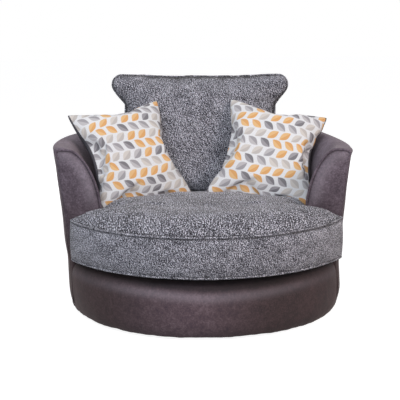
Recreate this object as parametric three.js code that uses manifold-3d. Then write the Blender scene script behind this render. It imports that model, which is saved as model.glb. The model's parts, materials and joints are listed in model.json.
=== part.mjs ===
// Swivel cuddle chair: a round, padded drum on a ball-bearing turntable, a tub wall that wraps round the
// back as two arms, a boxed seat cushion with ears, a winged pillow back and two scatter cushions.
// Millimetres and degrees. +Z is up, the front faces -Y, and the origin is on the floor under the swivel.

import * as THREE from 'three';
import { mergeVertices } from 'three/addons/utils/BufferGeometryUtils.js';
import Module from 'manifold-3d';

const wasm = await Module();
wasm.setup();

// Clearances and facets shared by every piece.
const fitGap = 0.3; // between flat pieces that touch
const shellGap = 3.5; // between a board and the curved shell round it
const softGap = 0.6; // between a cushion and what it is pressed against
const overrun = 40; // how far a cutting block runs past what it cuts
const wallStep = 7.5; // degrees between the sections of the tub wall
const wallFrom = -30; // degrees, past the arms' ends, where the wall's sections start
const wallTo = 180 - wallFrom;
const ringSegments = 48; // facets of a large disc
const trackSegments = 30; // facets of a ball track
const smallSegments = 12; // facets of a bolt, glide or hole

// Turntable base, which stands still on the floor.
const glideHeight = 8;
const glideRadius = 17;
const glideFootRadius = 14;
const glideFootBevel = 2;
const glideNailRadius = 2.2;
const glideNailLength = 12;
const glideCount = 6;
const glideInset = 35; // from the board's edge to a glide's centre
const baseBoardInset = 177; // from the open middle of the drum's underside to the base board
const baseBoardThickness = 18;
const bearingHeight = 24; // from the base board to the frame board
const plateSide = 300;
const plateCorner = 30;
const plateThickness = 3;
const plateBoltInset = 26;
const trackRadius = 125; // of the ball circle
const trackHalfWidth = 10;
const trackClearance = 4; // the two tracks stand this far from the middle of the balls
const ballRadius = 6;
const ballPlay = 0.6; // from a ball to the nearest facet of its track
const ballCount = 12;
const cageThickness = 2;
const cageHalfWidth = 13;
const boltRadius = 3;
const boltHeadRadius = 6;
const boltHeadHeight = 4;
const boltLength = 15;
const kingBoltRadius = 6;
const kingHeadRadius = 12;
const kingHeadHeight = 6;
const kingNutHeight = 8;
const kingHoleRadius = 20; // in both boards, round the king bolt's head and nut

// Frame, which turns with the chair.
const frameBoardInset = 26; // from the drum's widest line to the board's edge
const frameBoardThickness = 18;
const seatRingInset = 59; // from the same line to the seat ring's edge
const seatRingWidth = 112;
const seatRingHeight = 190; // of its underside, from the floor
const seatRingThickness = 18;
const postSide = 45;
const postInset = 44; // from the seat ring's edge to a post's middle
const postAngles = [215, 252, 288, 325];
const ribThickness = 18;
const ribAngles = [0, 30, 60, 90, 120, 150, 180];
const armBoardThickness = 18;
const hoopThickness = 6;
const railWidth = 42;
const railHeight = 32;
const railCover = 30; // of padding over the top rail
const railGap = 1; // between the rail and the padding round it
const ribTopGap = 2.5; // under the rail, which climbs a little across a rib's thickness

// Springs and deck.
const wireRadius = 2;
const wireSides = 4;
const springPitch = 80;
const springSwing = 24;
const springLead = 26; // the straight end that lies in a clip
const springCount = 6;
const springSideGap = 75; // from the seat ring's opening to the outer springs
const springAnchor = 50; // from the seat ring's outer edge to a spring's end
const stepsPerWave = 6;
const clipWidth = 16;
const clipDepth = 12;
const clipWall = 2;
const deckPadThickness = 18;
const platformThickness = 3;
const deckEdgeGap = 3; // from the deck's edge to the frame ribs
const dustCoverThickness = 2;
const dustCoverHole = 215;
const dustCoverLap = 9; // over the cover's flange

// Drum and tub wall.
const floorGap = 12;
const drumRadius = 571;
const lipInset = 33; // from the widest line to the lowest line of the drum
const lipReach = 25; // from the lowest line back to where the cover turns flat
const flangeWidth = 16; // of the cover stapled under the frame board
const bulgeHeight = 113;
const waistHeight = 237;
const waistInset = 1;
const borderRollHeight = 46;
const borderRollReach = 34;
const borderTopGap = 5; // from the front border's top to the deck
const armHeight = 680;
const backHeight = 742;
const rimRise = 1.9; // how late the rim climbs on its way to the back
const rimFlare = 50; // how much wider the wall is at its rim than at its waist
const backPullIn = 16; // how much nearer the rim is at the back
const coverThickness = 5;
const wallThickness = 115; // at the seat, from the waist to the padded inside
const padThickness = 45;
const scoopHeight = 430;
const scoopPower = 1.75;
const rimTopWidth = 52;
const rimEdge = 12; // bevel along the outer edge of the rim
const lipDrop = 18; // how far down the outside the inner padding is drawn over the rim
const lipGap = 1.2; // between that edge and the outer cover

// Arm fronts.
const armFront = 190; // from the swivel axis forward to the face of an arm
const facingThickness = 22;
const facingCrown = 3.5;
const facingCrownInset = 12;
const facingBottomGap = 4; // above the frame board
const pipingRadius = 4;
const pipingNest = 6.5; // of edge taken off a panel for its piping
const pipingSides = 6;

// Seat cushion.
const cushionOverhang = 19; // beyond the widest line of the drum
const cushionSideGap = 9; // from the round back of the cushion to the wall's padding
const earGap = 13; // from the face of an arm to the ear that lies in front of it
const earCorner = 26;
const earRoot = 12; // fillet between an ear and the round back
const cushionBottomRise = 8; // of the lower welt above the deck
const cushionBottomInset = 70;
const borderDepth = 161; // between the two welts
const borderBulge = 4;
const seatEdgeRise = 50; // of the top over its welt, all round
const seatEdgeRun = 110; // inwards from the welt, over which it rises
const seatDome = 21; // more, at the top's peak
const seatDomeReach = 550; // from the peak
const seatCrownPeak = 160; // in front of the axis
const seatSagShare = 0.34; // of that height lost at the back, under the back cushion
const seatSagDepth = 260; // behind the axis, where the sag is full
const seatScaleCentre = 290; // in front of the axis, where the crown's rings shrink to
const crownShares = [0.96, 0.9, 0.82, 0.7, 0.52, 0.3, 0.1];
const outlineDivisions = 9;

// Back cushion.
const backLowerHalf = 338;
const backWingHalf = 394;
const backCushionHeight = 535;
const backThickness = 250;
const backBow = 55; // how far its sides come forward round the tub
const backLean = 13;
const backInset = 97; // from the padded wall to the middle of the cushion
const backRise = 277; // from the seat's upper welt to its middle
const wingStartShare = 0.68;
const wingEndShare = 0.87;
const backCornerShare = 0.09;

// Scatter cushions. Each is placed by its middle, from the padded wall at its side and at the back and from
// the seat's upper welt, and turned, leaned back and rolled.
const scatterSide = 430;
const scatterThickness = 150;
const scatterDrawIn = 0.085;
const scatterPuffShare = 0.44;
const scatters = {
  scatter_cushion_left: { hand: -1, fromArm: 143, fromBack: 379, rise: 222, turn: 31, lean: 31, roll: -5 },
  scatter_cushion_right: { hand: 1, fromArm: 164, fromBack: 355, rise: 216, turn: -5, lean: 33, roll: 10 },
};
const pillowSteps = 12;

// Sizes and levels that follow from those above.
const lipRadius = drumRadius - lipInset;
const flangeRadius = lipRadius - lipReach - flangeWidth;
const baseBoardRadius = flangeRadius - baseBoardInset;
const frameBoardRadius = drumRadius - frameBoardInset;
const seatRingRadius = drumRadius - seatRingInset;
const postRadius = seatRingRadius - postInset;
const waistRadius = drumRadius - waistInset;
const rimRadius = waistRadius + rimFlare;
const tubRadius = waistRadius - wallThickness;
const cushionFrontRadius = drumRadius + cushionOverhang;
const cushionInnerRadius = tubRadius - cushionSideGap;
const baseBoardTop = glideHeight + baseBoardThickness;
const ballHeight = baseBoardTop + bearingHeight / 2;
const frameBoardBottom = baseBoardTop + bearingHeight;
const frameBoardTop = frameBoardBottom + frameBoardThickness;
const seatRingTop = seatRingHeight + seatRingThickness;
const springHeight = seatRingTop + fitGap + wireRadius;
const deckPadBottom = springHeight + wireRadius + fitGap + clipWall + fitGap;
const platformBottom = deckPadBottom + deckPadThickness + fitGap;
const deckTop = platformBottom + platformThickness;
const padBottom = deckTop + fitGap;
const padBackRadius = tubRadius + padThickness;
const borderTop = deckTop - borderTopGap;
const deckRadius = padBackRadius + shellGap - deckEdgeGap;
const hoopRadius = seatRingRadius + shellGap;
const hoopOuter = hoopRadius + hoopThickness;
const flangeHeight = frameBoardBottom - fitGap - coverThickness;
const wallFront = armFront - facingThickness; // the wall's own ends, behind the facings
const armBoardBack = wallFront - fitGap - armBoardThickness;
const facingBottom = frameBoardTop + facingBottomGap;
const cushionBottom = deckTop + softGap;
const lowerWelt = cushionBottom + cushionBottomRise;
const upperWelt = lowerWelt + borderDepth;
const earBack = armFront + earGap;
const backCentreY = tubRadius - backInset;
const backCentreZ = upperWelt + backRise;

const lerp = THREE.MathUtils.lerp;
const radians = THREE.MathUtils.degToRad;
const quarter = Math.PI / 2;

// Turning geometry into solids and back.

function facingOut(geometry) {
  const p = geometry.getAttribute('position');
  const index = geometry.index.array;
  const [a, b, c] = [new THREE.Vector3(), new THREE.Vector3(), new THREE.Vector3()];
  let volume = 0;
  for (let i = 0; i < index.length; i += 3) {
    a.fromBufferAttribute(p, index[i]);
    b.fromBufferAttribute(p, index[i + 1]);
    c.fromBufferAttribute(p, index[i + 2]);
    volume += a.dot(b.cross(c));
  }
  if (volume < 0) geometry.setIndex(Array.from(index).reverse());
  return geometry;
}

function solidOf(geometry) {
  const bare = geometry.clone();
  bare.deleteAttribute('normal');
  bare.deleteAttribute('uv');
  const merged = facingOut(mergeVertices(bare, 1e-3));
  return new wasm.Manifold(new wasm.Mesh({
    numProp: 3,
    vertProperties: new Float32Array(merged.getAttribute('position').array),
    triVerts: new Uint32Array(merged.index.array),
  }));
}

function geometryOf(solid) {
  const mesh = solid.getMesh();
  return new THREE.BufferGeometry()
    .setAttribute('position', new THREE.BufferAttribute(new Float32Array(mesh.vertProperties), 3))
    .setIndex(new THREE.BufferAttribute(new Uint32Array(mesh.triVerts), 1));
}

function cut(solid, ...tools) {
  return tools.reduce((left, tool) => left.subtract(tool), solid);
}

function largestPiece(solid) {
  return solid.decompose().reduce((a, b) => (a.volume() > b.volume() ? a : b));
}

function block(xFrom, xTo, yFrom, yTo, zFrom, zTo) {
  const box = new THREE.BoxGeometry(xTo - xFrom, yTo - yFrom, zTo - zFrom);
  return box.translate((xFrom + xTo) / 2, (yFrom + yTo) / 2, (zFrom + zTo) / 2);
}

const reach = rimRadius + backHeight; // well past the whole chair

function slab(yFrom, yTo, zFrom = -reach, zTo = reach) {
  return solidOf(block(-reach, reach, yFrom, yTo, zFrom, zTo));
}

function cylinder(radius, zFrom, zTo, segments = smallSegments) {
  const body = new THREE.CylinderGeometry(radius, radius, zTo - zFrom, segments).rotateX(quarter);
  return body.translate(0, 0, (zFrom + zTo) / 2);
}

function around(geometry, radius, angle) {
  return geometry.clone().translate(radius, 0, 0).rotateZ(radians(angle));
}

// Lofts a closed body through rings of points, with a flat cap at each end unless the rings close up.
function loft(rings, closed = false) {
  const count = rings[0].length;
  const positions = rings.flat().flatMap((p) => [p.x, p.y, p.z]);
  const index = [];
  const last = closed ? rings.length : rings.length - 1;
  for (let i = 0; i < last; i += 1) {
    const here = i * count;
    const next = ((i + 1) % rings.length) * count;
    for (let j = 0; j < count; j += 1) {
      const k = (j + 1) % count;
      index.push(here + j, next + j, next + k, here + j, next + k, here + k);
    }
  }
  if (!closed) {
    index.push(...capOf(rings[0]).flat());
    const start = (rings.length - 1) * count;
    for (const triangle of capOf(rings.at(-1))) index.push(...triangle.map((k) => start + k).reverse());
  }
  const made = new THREE.BufferGeometry();
  made.setAttribute('position', new THREE.Float32BufferAttribute(positions, 3));
  return facingOut(made.setIndex(index));
}

// Triangles over a flat ring, turned the way the ring runs.
function capOf(ring) {
  const normal = new THREE.Vector3();
  ring.forEach((p, i) => normal.add(p.clone().cross(ring[(i + 1) % ring.length])));
  normal.normalize();
  const across = ring[1].clone().sub(ring[0]).normalize();
  const up = normal.clone().cross(across);
  const flat = ring.map((p) => new THREE.Vector2(p.dot(across), p.dot(up)));
  return THREE.ShapeUtils.triangulateShape(flat, []);
}

// A tube along points that lie in one plane, given that plane's normal.
function tube(points, radius, sides, normal, closed = false) {
  const rings = points.map((p, i) => {
    const before = points[closed ? (i + points.length - 1) % points.length : Math.max(i - 1, 0)];
    const after = points[closed ? (i + 1) % points.length : Math.min(i + 1, points.length - 1)];
    const side = after.clone().sub(before).normalize().cross(normal);
    return Array.from({ length: sides }, (_, k) => {
      const a = (k / sides) * 2 * Math.PI;
      const across = side.clone().multiplyScalar(radius * Math.cos(a));
      return p.clone().add(across).addScaledVector(normal, radius * Math.sin(a));
    });
  });
  return loft(rings, closed);
}

// A body of one closed [radius, height] section swept round the swivel axis; the section may change.
function sweep(sectionAt, from, to) {
  const rings = [];
  for (let angle = from; angle <= to; angle += wallStep) {
    const [c, s] = [Math.cos(radians(angle)), Math.sin(radians(angle))];
    rings.push(sectionAt(angle).map(([r, z]) => new THREE.Vector3(r * c, r * s, z)));
  }
  return loft(rings);
}

// Moves an outline sideways by a distance, keeping its corners sharp. Positive moves to the left of travel.
function offsetOutline(points, distance, closed) {
  return points.map((p, i) => {
    const n = points.length;
    const a = closed || i > 0 ? points[(i + n - 1) % n] : null;
    const b = closed || i < n - 1 ? points[(i + 1) % n] : null;
    const normals = [[a, p], [p, b]].filter(([from, to]) => from && to).map(([from, to]) => {
      const length = Math.hypot(to[0] - from[0], to[1] - from[1]);
      return [-(to[1] - from[1]) / length, (to[0] - from[0]) / length];
    });
    const [m, k = m] = normals;
    const scale = distance / (1 + m[0] * k[0] + m[1] * k[1]);
    return [p[0] + (m[0] + k[0]) * scale, p[1] + (m[1] + k[1]) * scale];
  });
}

function quarterCurve(steps, at) {
  const turns = Array.from({ length: steps + 1 }, (_, i) => (quarter * i) / steps);
  return turns.map((turn) => at(Math.sin(turn), Math.cos(turn)));
}

// The form of the tub wall, shared by everything that covers, fills or carries it.

function backShare(angle) {
  const forward = rimRadius * Math.sin(radians(angle)) + armFront;
  return Math.max(0, forward / (rimRadius + armFront));
}

function rimHeightAt(angle) {
  return lerp(armHeight, backHeight, backShare(angle) ** rimRise);
}

function rimRadiusAt(angle) {
  return rimRadius - backPullIn * backShare(angle) ** 2;
}

function wallRadiusAt(z, angle) {
  if (z >= waistHeight) {
    const share = (z - waistHeight) / (rimHeightAt(angle) - waistHeight);
    return lerp(waistRadius, rimRadiusAt(angle), share);
  }
  if (z >= bulgeHeight) {
    const share = (z - bulgeHeight) / (waistHeight - bulgeHeight);
    return lerp(drumRadius, waistRadius, THREE.MathUtils.smoothstep(share, 0, 1));
  }
  const share = (bulgeHeight - z) / (bulgeHeight - floorGap);
  return lipRadius + (drumRadius - lipRadius) * Math.sqrt(1 - share ** 2);
}

function padFaceAt(z, angle) {
  if (z <= scoopHeight) return tubRadius;
  const share = Math.min(1, (z - scoopHeight) / (rimHeightAt(angle) - scoopHeight));
  const top = rimRadiusAt(angle) - rimTopWidth;
  return lerp(tubRadius, top, 1 - (1 - share ** scoopPower) ** (1 / scoopPower));
}

function levels(from, to, steps) {
  return Array.from({ length: steps + 1 }, (_, i) => lerp(from, to, i / steps));
}

// The rolled lower edge of drum and front border, from the flange under the frame board to the bulge.
function lowerEdge() {
  const inner = quarterCurve(3, (s, c) => [
    lipRadius - lipReach * c,
    flangeHeight - (flangeHeight - floorGap) * s,
  ]);
  const outer = quarterCurve(5, (s, c) => [
    lipRadius + (drumRadius - lipRadius) * s,
    bulgeHeight - (bulgeHeight - floorGap) * c,
  ]);
  return [[flangeRadius, flangeHeight], ...inner, ...outer.slice(1)];
}

function scoopCurve(angle, grow = 0) {
  const rim = rimHeightAt(angle);
  return quarterCurve(7, (s) => {
    const z = lerp(scoopHeight, rim, s);
    return [padFaceAt(z, angle) - grow, z + grow];
  });
}

function railAt(angle) {
  const top = rimHeightAt(angle) - railCover;
  const bottom = top - railHeight;
  const outer = wallRadiusAt(bottom, angle) - coverThickness - shellGap;
  return { top, bottom, outer, inner: outer - railWidth };
}

function outerCoverSection(angle) {
  const top = rimHeightAt(angle) - lipDrop - lipGap;
  const waist = levels(bulgeHeight, waistHeight, 2).slice(1);
  const flare = levels(waistHeight, top, 4).slice(1);
  const outside = [...lowerEdge(), ...[...waist, ...flare].map((z) => [wallRadiusAt(z, angle), z])];
  return [...outside, ...offsetOutline(outside, coverThickness, false).reverse()];
}

function innerPadSection(angle) {
  const rim = rimHeightAt(angle);
  const edge = rimRadiusAt(angle);
  const rail = railAt(angle);
  const lip = rim - lipDrop;
  const back = levels(rail.bottom, scoopHeight, 3)
    .map((z) => [Math.min(padFaceAt(z, angle) + padThickness, rail.inner - 2 * railGap), z]);
  return [
    [tubRadius, padBottom],
    ...scoopCurve(angle),
    [edge - rimEdge, rim],
    [edge, rim - rimEdge],
    [wallRadiusAt(lip, angle), lip],
    [rail.outer + railGap, lip],
    [rail.outer + railGap, rail.top + railGap],
    [rail.inner - railGap, rail.top + railGap],
    [rail.inner - railGap, rail.bottom],
    ...back,
    [padBackRadius, padBottom],
  ];
}

// The outline of a frame rib: it stands on the frame board, is notched over the seat ring and meets the rail.
function ribOutline(angle) {
  const rail = railAt(angle);
  const top = rail.bottom - ribTopGap;
  const foot = frameBoardTop + fitGap;
  const inner = padBackRadius + shellGap;
  const notch = seatRingRadius + fitGap;
  const upperInner = levels(scoopHeight, top, 4).map((z) => [padFaceAt(z, angle) + padThickness + shellGap, z]);
  const outer = levels(top, foot, 9).map((z) => [wallRadiusAt(z, angle) - coverThickness - shellGap, z]);
  return [
    [inner, foot],
    [inner, seatRingHeight - fitGap],
    [notch, seatRingHeight - fitGap],
    [notch, seatRingTop + fitGap],
    [inner, seatRingTop + fitGap],
    ...upperInner,
    ...outer,
  ];
}

function frontBorderSection() {
  const start = borderTop - borderRollHeight;
  const side = wallRadiusAt(start, 0);
  const roll = quarterCurve(5, (s, c) => [side - borderRollReach * (1 - c), start + borderRollHeight * s]);
  const inner = hoopOuter + fitGap;
  const board = frameBoardRadius + fitGap;
  const under = frameBoardBottom - fitGap;
  return [
    ...lowerEdge(),
    [wallRadiusAt((bulgeHeight + start) / 2, 0), (bulgeHeight + start) / 2],
    ...roll,
    [inner, borderTop],
    [inner, frameBoardTop + fitGap],
    [board, frameBoardTop + fitGap],
    [board, under],
    [flangeRadius, under],
  ];
}

// The whole section of an arm as its front panel covers it, with a narrower leg down the side of the drum.
function facingOutline(angle) {
  const rim = rimHeightAt(angle);
  const edge = rimRadiusAt(angle);
  const leg = hoopOuter + fitGap;
  const outside = [...levels(facingBottom, waistHeight, 4), ...levels(waistHeight, rim - rimEdge, 4).slice(1)];
  return [
    [leg, facingBottom],
    ...outside.map((z) => [wallRadiusAt(z, angle), z]),
    [edge - rimEdge, rim],
    ...scoopCurve(angle).reverse(),
    [tubRadius, padBottom],
    [leg, padBottom],
  ];
}

// Puts a [radius, height] outline on the vertical plane y = -forward, on the right or left of the chair.
function onPlane(outline, forward, side) {
  return outline.map(([r, z]) => new THREE.Vector3(side * Math.sqrt(r ** 2 - forward ** 2), -forward, z));
}

const facingAngle = -THREE.MathUtils.radToDeg(Math.asin(armFront / rimRadius));

// Turntable base.

function glide() {
  const top = glideHeight - fitGap;
  const profile = [
    [0, 0],
    [glideFootRadius, 0],
    [glideRadius, glideFootBevel],
    [glideRadius, top],
    [glideNailRadius, top],
    [glideNailRadius, top + glideNailLength],
    [0, top + glideNailLength],
  ].map(([r, z]) => new THREE.Vector2(r, z));
  return new THREE.LatheGeometry(profile, smallSegments).rotateX(quarter);
}

const glideAngles = Array.from({ length: glideCount }, (_, i) => (i + 0.5) * (360 / glideCount));
const plateBoltPlaces = [[1, 1], [-1, 1], [-1, -1], [1, -1]].map(([x, y]) => {
  const from = plateSide / 2 - plateBoltInset;
  return [x * from, y * from];
});

function plateBoltHoles(zFrom, zTo) {
  const drill = cylinder(boltRadius + fitGap, zFrom - overrun, zTo + overrun);
  return plateBoltPlaces.map(([x, y]) => solidOf(drill.clone().translate(x, y, 0)));
}

function baseBoard() {
  const nail = cylinder(glideNailRadius + fitGap, -overrun, glideHeight + glideNailLength);
  const nails = glideAngles.map((a) => solidOf(around(nail, baseBoardRadius - glideInset, a)));
  const middle = solidOf(cylinder(kingHoleRadius, -overrun, baseBoardTop + overrun, smallSegments));
  const disc = solidOf(cylinder(baseBoardRadius, glideHeight, baseBoardTop, ringSegments));
  return geometryOf(cut(disc, ...nails, middle, ...plateBoltHoles(glideHeight, baseBoardTop)));
}

// One pressed plate with its ball track, lying on the base board with the track up.
function swivelPlate() {
  const half = plateSide / 2;
  const flat = half - plateCorner;
  const outline = new THREE.Shape();
  outline.absarc(flat, flat, plateCorner, 0, quarter);
  outline.absarc(-flat, flat, plateCorner, quarter, 2 * quarter);
  outline.absarc(-flat, -flat, plateCorner, 2 * quarter, 3 * quarter);
  outline.absarc(flat, -flat, plateCorner, 3 * quarter, 4 * quarter);
  const press = { depth: plateThickness, bevelEnabled: false, curveSegments: 4 };
  const sheet = new THREE.ExtrudeGeometry(outline, press);
  const middle = bearingHeight / 2 - fitGap; // of the balls, above the plate's underside
  const height = middle - trackClearance;
  const groove = ballRadius + ballPlay + trackRadius * (1 - Math.cos(Math.PI / trackSegments));
  const mouth = Math.sqrt(groove ** 2 - trackClearance ** 2);
  const arc = levels(-1, 1, 4).map((k) => {
    const x = k * mouth;
    return [trackRadius + x, middle - Math.sqrt(groove ** 2 - x ** 2)];
  });
  const section = [
    [trackRadius - trackHalfWidth, plateThickness / 2],
    [trackRadius - trackHalfWidth, height],
    ...arc,
    [trackRadius + trackHalfWidth, height],
    [trackRadius + trackHalfWidth, plateThickness / 2],
    [trackRadius - trackHalfWidth, plateThickness / 2],
  ].map(([r, z]) => new THREE.Vector2(r, z));
  const track = new THREE.LatheGeometry(section, trackSegments).rotateX(quarter);
  const kingHole = solidOf(cylinder(kingBoltRadius + fitGap, -overrun, overrun));
  return geometryOf(cut(solidOf(sheet).add(solidOf(track)), kingHole, ...plateBoltHoles(0, plateThickness)));
}

function ballCage() {
  const ring = cut(
    solidOf(cylinder(trackRadius + cageHalfWidth, -cageThickness / 2, cageThickness / 2, trackSegments)),
    solidOf(cylinder(trackRadius - cageHalfWidth, -overrun, overrun, trackSegments)),
  );
  const ball = new THREE.IcosahedronGeometry(ballRadius, 1);
  const spots = Array.from({ length: ballCount }, (_, i) => around(ball, trackRadius, (i * 360) / ballCount));
  const balls = spots.map((spot) => solidOf(spot));
  return geometryOf(balls.reduce((all, one) => all.add(one), ring)).translate(0, 0, ballHeight);
}

// A bolt standing head down at z = 0, with its shank upwards.
function bolt(headRadius, headHeight, shankRadius, length, facets) {
  const head = solidOf(cylinder(headRadius, 0, headHeight, facets));
  const shank = solidOf(cylinder(shankRadius, headHeight / 2, headHeight + length));
  return geometryOf(head.add(shank));
}

function kingNut(from) {
  const body = solidOf(cylinder(kingHeadRadius, from, from + kingNutHeight, 6));
  return geometryOf(cut(body, solidOf(cylinder(kingBoltRadius + fitGap, from - overrun, from + overrun))));
}

// Frame.

function frameBoard() {
  const disc = solidOf(cylinder(frameBoardRadius, frameBoardBottom, frameBoardTop, ringSegments));
  const middle = solidOf(cylinder(kingHoleRadius, 0, frameBoardTop + overrun));
  return geometryOf(cut(disc, middle, ...plateBoltHoles(frameBoardBottom, frameBoardTop)));
}

const outerSpring = seatRingRadius - seatRingWidth - springSideGap;
const springEnds = levels(-outerSpring, outerSpring, springCount - 1).map((x) => {
  const half = Math.sqrt((seatRingRadius - springAnchor) ** 2 - x ** 2);
  return { x, half };
});

function seatRing() {
  const disc = solidOf(cylinder(seatRingRadius, seatRingHeight, seatRingTop, ringSegments));
  const hole = solidOf(cylinder(seatRingRadius - seatRingWidth, 0, backHeight, ringSegments));
  const clipTop = springHeight + wireRadius + fitGap + clipWall;
  const slot = wireRadius + fitGap;
  let made = cut(disc, hole);
  for (const { x, half } of springEnds) {
    for (const side of [-1, 1]) {
      const y = side * (half - springLead / 2);
      const [left, right] = [x - clipWidth / 2, x + clipWidth / 2];
      const bridge = block(left, right, y - clipDepth / 2, y + clipDepth / 2, seatRingTop - clipWall, clipTop);
      const way = block(x - slot, x + slot, y - clipDepth, y + clipDepth, seatRingTop, springHeight + slot);
      made = made.add(solidOf(bridge)).subtract(solidOf(way));
    }
  }
  return geometryOf(made);
}

function post() {
  const half = postSide / 2;
  return block(-half, half, -half, half, frameBoardTop + fitGap, seatRingHeight - fitGap);
}

function rib(angle) {
  const shape = new THREE.Shape(ribOutline(angle).map(([r, z]) => new THREE.Vector2(r, z)));
  const plate = new THREE.ExtrudeGeometry(shape, { depth: ribThickness, bevelEnabled: false });
  return plate.translate(0, 0, -ribThickness / 2).rotateX(quarter).rotateZ(radians(angle));
}

function armBoard(side) {
  const outline = ribOutline(facingAngle);
  const planes = [armBoardBack, wallFront - fitGap];
  return loft(planes.map((forward) => onPlane(outline, forward, side)));
}

function topRail() {
  const whole = solidOf(sweep((angle) => {
    const { inner, outer, top, bottom } = railAt(angle);
    return [[inner, bottom], [outer, bottom], [outer, top], [inner, top]];
  }, wallFrom, wallTo));
  return geometryOf(whole.intersect(slab(-armBoardBack + fitGap, reach)));
}

function frontHoop() {
  const section = [
    [hoopRadius, frameBoardTop + fitGap],
    [hoopOuter, frameBoardTop + fitGap],
    [hoopOuter, borderTop],
    [hoopRadius, borderTop],
  ];
  return geometryOf(solidOf(sweep(() => section, -180, 0)).intersect(slab(-reach, -wallFront - fitGap)));
}

// A flat zigzag of spring wire from front to back, with a straight end in each clip.
function sinuousSpring({ x, half }) {
  const run = half - springLead;
  const waves = Math.round((2 * run) / springPitch);
  const steps = waves * stepsPerWave;
  const points = [new THREE.Vector3(x, -half, springHeight)];
  for (let i = 0; i <= steps; i += 1) {
    const sway = springSwing * Math.sin((2 * Math.PI * i) / stepsPerWave);
    points.push(new THREE.Vector3(x + sway, lerp(-run, run, i / steps), springHeight));
  }
  points.push(new THREE.Vector3(x, half, springHeight));
  return tube(points, wireRadius, wireSides, new THREE.Vector3(0, 0, 1));
}

function deckPad() {
  return cylinder(deckRadius, deckPadBottom, deckPadBottom + deckPadThickness, ringSegments);
}

function platformCloth() {
  return cylinder(deckRadius, platformBottom, deckTop, ringSegments);
}

function dustCover() {
  const top = flangeHeight - fitGap;
  const disc = cylinder(flangeRadius + dustCoverLap, top - dustCoverThickness, top, ringSegments);
  return geometryOf(cut(solidOf(disc), solidOf(cylinder(dustCoverHole, 0, backHeight, ringSegments))));
}

// Upholstery.

function wallBehindFacings(sectionAt) {
  return geometryOf(solidOf(sweep(sectionAt, wallFrom, wallTo)).intersect(slab(-wallFront, reach)));
}

function frontBorder() {
  const whole = solidOf(sweep(frontBorderSection, -180, 0)).intersect(slab(-reach, -wallFront - fitGap));
  const facingRoom = slab(-armFront - facingCrown - fitGap, 0, facingBottom - fitGap, backHeight);
  return geometryOf(cut(whole, facingRoom));
}

function armFacing(side) {
  const outline = facingOutline(facingAngle);
  const steps = [
    [0, wallFront + fitGap],
    [0, armFront - pipingNest],
    [pipingNest, armFront],
    [facingCrownInset, armFront + facingCrown],
  ];
  return loft(steps.map(([inset, forward]) => onPlane(offsetOutline(outline, inset, true), forward, side)));
}

// Cord sewn round the arm's front edge, from the outer top corner over the rim and down the inside.
function facingPiping(side) {
  const rim = rimHeightAt(facingAngle);
  const edge = rimRadiusAt(facingAngle);
  const path = [
    [edge, rim - rimEdge],
    [edge - rimEdge, rim],
    ...scoopCurve(facingAngle).reverse(),
    [tubRadius, padBottom + pipingRadius],
  ];
  return tube(onPlane(path, armFront, side), pipingRadius, pipingSides, new THREE.Vector3(0, 1, 0));
}

// Cushions.

// The seat cushion seen from above: a front arc with an ear before each arm, and a round back in the tub.
function seatOutline(grow) {
  const front = cushionFrontRadius + grow;
  const inner = cushionInnerRadius + grow;
  const back = earBack - grow;
  const tip = Math.sqrt(front ** 2 - back ** 2);
  const root = Math.sqrt(inner ** 2 - back ** 2);
  const frontEnd = Math.asin(back / front) + earCorner / front;
  const innerStart = Math.asin(back / inner) - earRoot / inner;
  const path = new THREE.Path();
  path.absarc(0, 0, front, frontEnd + 2 * quarter, 4 * quarter - frontEnd);
  path.quadraticCurveTo(tip, -back, tip - earCorner, -back);
  path.lineTo(root + earRoot, -back);
  path.quadraticCurveTo(root, -back, inner * Math.cos(innerStart), -inner * Math.sin(innerStart));
  path.absarc(0, 0, inner, -innerStart, innerStart + 2 * quarter);
  path.quadraticCurveTo(-root, -back, -root - earRoot, -back);
  path.lineTo(-tip + earCorner, -back);
  path.quadraticCurveTo(-tip, -back, -front * Math.cos(frontEnd), -front * Math.sin(frontEnd));
  const points = path.getPoints(outlineDivisions);
  return points.filter((p, i) => p.distanceTo(points[(i + 1) % points.length]) > fitGap);
}

function seatRingAt(grow, z) {
  return seatOutline(grow).map((p) => new THREE.Vector3(p.x, p.y, z));
}

// How far the filled top stands over the welt at a point, which lies some way in from the outline.
function seatRise(x, y, inwards) {
  const edge = seatEdgeRise * (1 - (1 - Math.min(inwards / seatEdgeRun, 1)) ** 2);
  const away = (x ** 2 + (y + seatCrownPeak) ** 2) / seatDomeReach ** 2;
  const sag = seatSagShare * THREE.MathUtils.smoothstep(y, 0, seatSagDepth);
  return (edge + seatDome * Math.max(1 - away, 0)) * (1 - sag);
}

function insetFrom(outline, x, y) {
  const spot = new THREE.Vector3(x, y, 0);
  const side = new THREE.Line3();
  const near = new THREE.Vector3();
  return Math.min(...outline.map((p, i) => {
    const q = outline[(i + 1) % outline.length];
    side.start.set(p.x, p.y, 0);
    side.end.set(q.x, q.y, 0);
    return side.closestPointToPoint(spot, true, near).distanceTo(spot);
  }));
}

function seatCushion(grow = 0) {
  const welt = seatOutline(grow - pipingNest);
  const crown = crownShares.map((share) => {
    return welt.map((p) => {
      const x = p.x * share;
      const y = -seatScaleCentre + (p.y + seatScaleCentre) * share;
      return new THREE.Vector3(x, y, upperWelt + grow + seatRise(x, y, insetFrom(welt, x, y)));
    });
  });
  return loft([
    seatRingAt(grow - cushionBottomInset, cushionBottom - grow),
    seatRingAt(grow - pipingNest, lowerWelt - grow),
    seatRingAt(grow, lowerWelt - grow + pipingNest),
    seatRingAt(grow + borderBulge, (lowerWelt + upperWelt) / 2),
    seatRingAt(grow, upperWelt + grow - pipingNest),
    seatRingAt(grow - pipingNest, upperWelt + grow),
    ...crown,
  ]);
}

function seatPiping(z) {
  return tube(seatRingAt(0, z), pipingRadius, pipingSides - 1, new THREE.Vector3(0, 0, 1), true);
}

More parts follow.
